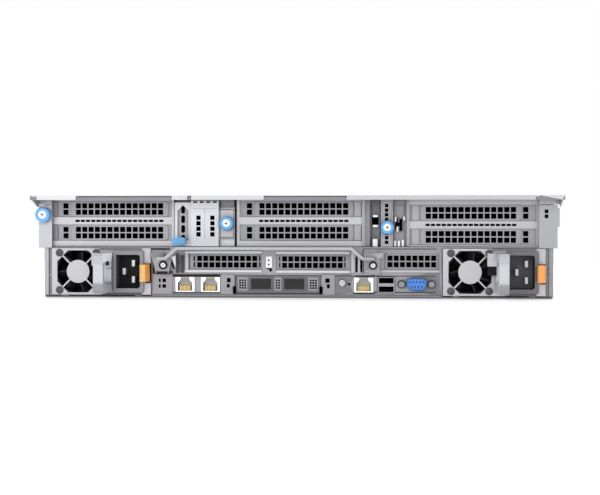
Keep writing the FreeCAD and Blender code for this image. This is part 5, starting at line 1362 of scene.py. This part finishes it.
@dataclass
class PortRow:
    """Sockets and cards of the lower middle."""

    rj45: tuple[float, ...] = (-95.1, -73.3, 57.7)
    port_z: float = 11.2
    usb_x: float = 76.8
    vga_x: float = 102.5
    vga_z: float = 12.0

    def build(self) -> None:
        """Paints the sockets and adds contacts, lamps and vent dots."""
        usb = inside(x=(68, 85))
        socket = both(usb, inside(y=rear(0.1, 15)))
        inner = both(inside(x=(-110, 68)), inside(y=rear(0.9, 15)))
        # The port shells glow as painted light, and the USB sockets' insides are painted unlit black as
        # painted shade.
        paint("rear_ports", SHELL_STEEL_GLOW, 0.12, [(PORT_INSIDE, inner), (PANEL_ZINC, usb), (UNLIT_BLACK, socket)])
        shell = inside(y=rear(-6, -0.2))
        core = both(shell, inside(x=(self.vga_x - 9.5, self.vga_x + 9.5)))
        paint("vga_port", PLATE_ZINC, 0.1, [(VGA_BLUE, core)])
        # The card's cage insides glow as painted light.
        paint("ocp_card", CARD_GREY, 0.1, [(CAGE_BACK_GLOW, inside(y=rear(1.5, 60)))])
        paint("id_button", LENS, 0.15)
        self.contacts()
        self.usb()
        self.vga_holes()
        self.card_details()
        self.joints()

    def contacts(self) -> None:
        """Gold springs in each network socket, its grey insert and two lamps."""
        gold, inserts, lamps, notches = Shape(), Shape(), Shape(), Shape()
        for x in self.rj45:
            for u in spread(8, 1.15, x):
                gold.box((u - 0.42, u + 0.42), rear(0.8, 9), (self.port_z - 5.0, self.port_z - 1.0))
            inserts.box((x - 6.1, x + 6.1), rear(8.0, 9.0), (self.port_z - 5.2, self.port_z + 4.8))
            for side in (-1, 1):
                edge, top = x + side * 6.1, self.port_z + 4.8
                wedge = [(edge, top), (edge, self.port_z + 1.6), (x + side * 3.4, top)]
                lamps.prism(Axis.Y, wedge, rear(0.6, 1.4))
            notches.box((x - 3.7, x + 3.7), rear(-0.6, 0.4), (self.port_z + 5.0, self.port_z + 6.1))
        notches.piece("socket_notches", PANEL_ZINC, 0.1)
        gold.piece("socket_contacts", GOLD, 0.05)
        inserts.piece("glowing_socket_inserts", JACK_GREY_GLOW, 0.1)
        lamps.piece("socket_lamps", SHELL_STEEL_GLOW, 0.05)

    def usb(self) -> None:
        """Insides of the stacked USB sockets, filled unlit black as painted shade, and their contact tongues.
        """
        dark, tongue = Shape(), Shape()
        for z in (self.port_z + 4.1, self.port_z - 4.1):
            dark.box((self.usb_x - 6.1, self.usb_x + 6.1), rear(4.4, 5.0), (z - 2.1, z + 2.1))
            for u in spread(4, 2.2, self.usb_x):
                tongue.box((u - 0.5, u + 0.5), rear(2.8, 4.4), (z + 0.0, z + 0.14))
        dark.piece("usb_insides", UNLIT_BLACK, 0.0)
        tongue.piece("usb_contacts", CHARCOAL, 0.0)

    def vga_holes(self) -> None:
        """Rows of contact holes in the video socket and the posts' threaded ends."""
        shape, posts = Shape(), Shape()
        for count, z in ((5, self.vga_z + 1.9), (4, self.vga_z - 1.9)):
            for x in spread(count, 2.9, self.vga_x):
                shape.lathe(Axis.Y, (x, z), [(0.8, REAR - 4.4), (0.8, REAR - 4.5), (0, REAR - 4.5)], 14)
        for centre in self.post_centres():
            posts.lathe(Axis.Y, centre, [(1.35, REAR - 4.5), (1.35, REAR - 4.7), (0, REAR - 4.7)], 20)
        shape.piece("video_holes", PIN_BLUE, 0.0)
        posts.piece("post_threads", POST_DARK, 0.0)

    def card_details(self) -> None:
        """Vent dots, cage frames, clips, backs and vent plates of the network card's face."""
        dots, frames, clips, backs, plates = Shape(), Shape(), Shape(), Shape(), Shape()
        y = REAR + 0.4
        for middle, columns in ((-45.5, 3), (-15.3, 2), (14.9, 3)):
            wide = columns * 2.2 + 1.6
            plates.box((middle - wide / 2, middle + wide / 2), (y - 0.12, y + 0.2), (6.2, 17.4))
            for x in spread(columns, 2.2, middle):
                for z in spread(4, 2.15, 11.7):
                    dots.box((x - 0.78, x + 0.78), (y - 0.18, y + 0.2), (z - 0.75, z + 0.75))
        for x in (-29.8, -1.4):
            outer = rounded(x, 11.9, 20.4, 12.2, 0.6, 3)
            inner = rounded(x, 11.9, 17.3, 9.1, 0.3, 3)
            self.rim(frames, outer, inner, (y, y - 0.5))
        for x in (-52.5, 21.5):
            clips.box((x - 1.3, x + 1.3), rear(-0.7, 0.9), (3.4, 9.8))
        for x in (-29.8, -1.4):
            backs.box((x - 8.5, x + 8.5), rear(47.5, 47.9), (7.5, 16.3))
        # The cage backs glow as painted light, and the vent dots are filled unlit black as painted shade.
        backs.piece("glowing_cage_backs", CAGE_BACK_GLOW, 0.0, "network_card")
        dots.piece("card_vents", UNLIT_BLACK, 0.0, "network_card")
        frames.piece("cage_frames", CAGE_FRAME, 0.1, "network_card")
        clips.piece("card_clips", UNLIT_BLACK, 0.2)
        plates.piece("card_vent_plates", PLATE_ZINC, 0.05, "network_card")

    def joints(self) -> None:
        """Dark joints around the sockets, under the slots and beside the card: partly real joints, partly
        painted shadow lines.
        """
        y = rear(0.86, 0.98)
        soft = Shape().layer(y, (
            ((-123.2, 118.8), (18.5, 19.2)), ((-105.6, -63.4), (17.6, 20.3)), ((-105.8, -63.4), (3.6, 4.7)),
            ((-123.4, -105.2), (20.4, 22.8)), ((66.0, 118.8), (4.5, 5.5))))
        soft.layer(rear(0.7, 0.98), (
            ((57.3, 119.6), (41.6, 42.1)), ((56.9, 57.7), (20.6, 41.6)), ((-126.0, -108.2), (40.6, 42.4))))
        soft.piece("port_row_joint_shadows", GAP_SHADE_DARK, 0.0)
        deep = Shape().layer(y, (
            ((-51.2, 22.3), (3.3, 4.0)), ((50.4, 67.4), (18.2, 19.4)), ((48.5, 67.4), (3.6, 4.6)),
            ((-52.0, -51.3), (4.9, 18.4)), ((22.4, 23.1), (5.2, 18.4))))
        deep.piece("card_joint_shadows", GAP_SHADE_DEEP, 0.0)
        rings = Shape()
        for centre in self.post_centres():
            self.rim(rings, circle(*centre, 3.5, 24), circle(*centre, 2.8, 24), rear(0.3, -0.75))
        rings.piece("post_rings", GAP_SHADE_DARK, 0.05)

    def post_centres(self) -> list[Point]:
        """Middles of the two hex posts beside the video socket.

        Returns:
            Their places across Y.
        """
        return [(self.vga_x + side * 12.6, self.vga_z) for side in (-1, 1)]

    @staticmethod
    def rim(shape: Shape, outer: Sequence[Point], inner: Sequence[Point], span: Span) -> None:
        """Adds a flat rim between two outlines with equal numbers of corners.

        Args:
            shape: what to add it to.
            outer, inner: the outlines across Y.
            span: its extent along Y.
        """
        rings = []
        for outline, y in ((outer, span[0]), (outer, span[1]), (inner, span[1]), (inner, span[0])):
            rings.append([shape.mesh.verts.new(Axis.Y.point(u, v, y) * MM) for u, v in outline])
        for here, after in zip(rings, rings[1:] + rings[:1]):
            for i in range(len(here)):
                j = (i + 1) % len(here)
                shape.mesh.faces.new((here[i], here[j], after[j], after[i]))


@dataclass
class Interior:
    """What shows through the vents or when the cover is off."""

    def build(self) -> None:
        """Paints boards, sinks, memory, baffle and fans."""
        paint("system_board", BOARD_GREEN, 0.1, [(CHIP_BLACK, inside(z=(5.0, 20)))])
        paint("heatsinks", FIN_ALUMINIUM, 0.1)
        paint("memory_modules", BOARD_GREEN, 0.1, [(CHIP_BLACK, inside(z=(4, 12.7)))])
        paint("air_baffle", BLACK, 0.3)
        paint("fan_tray", BLACK, 0.3)
        for number in range(1, 5):
            paint(f"fan_rotor_{number}", CHARCOAL, 0.2)
        paint("backplane", BOARD_GREEN, 0.2)


@dataclass
class FrontEnd:
    """Drive cage, carriers, blanks, fascia and rack ears."""

    def build(self) -> None:
        """Paints the front."""
        paint("drive_cage", COVER_WHITE, 0.3, [(PAN_ZINC, inside(z=(-1, 84))), (COVER_TOP, facing(z=1))])
        paint("front_panel", BLACK, 0.3)
        paint("bay_blanks", BLACK, 0.3)
        for number in range(1, 5):
            paint(f"drive_{number}", BLACK, 0.3, [(PAN_ZINC, inside(y=(150, FRONT - 13)))])
            paint(f"drive_lever_{number}", LEVER_GREY, 0.3)
        moulded = inside(y=(EAR_PLANE + 2.1, FRONT))
        paint("rack_ears", BLACK, 0.3, [(PAN_ZINC, lambda c, n: not moulded(c, n))])
        paint("ear_latch_left", LEVER_GREY, 0.3)
        paint("ear_latch_right", LEVER_GREY, 0.3)
        paint("power_button", LENS, 0.3)


def main() -> None:
    """Builds the looks in order."""
    logging.basicConfig(level=logging.INFO, format="%(name)s %(message)s")
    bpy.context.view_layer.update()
    Studio().build()
    RearFrame().build()
    for body, node, radius in (
        ("screw_corner", "thumbscrew_corner", 6.4), ("screw_boot", "thumbscrew_boot", 6.0),
        ("screw_column", "thumbscrew_column", 5.7),
    ):
        Thumbscrew(body, node, radius).build()
    Risers().build()
    ScrewColumn().build()
    LowSlots().build()
    BootCartridge().build()
    for number, left in enumerate(SUPPLY_EDGES, 1):
        PowerSupply(number, left).build()
    PortRow().build()
    Interior().build()
    FrontEnd().build()


if __name__ == "__main__":
    main()
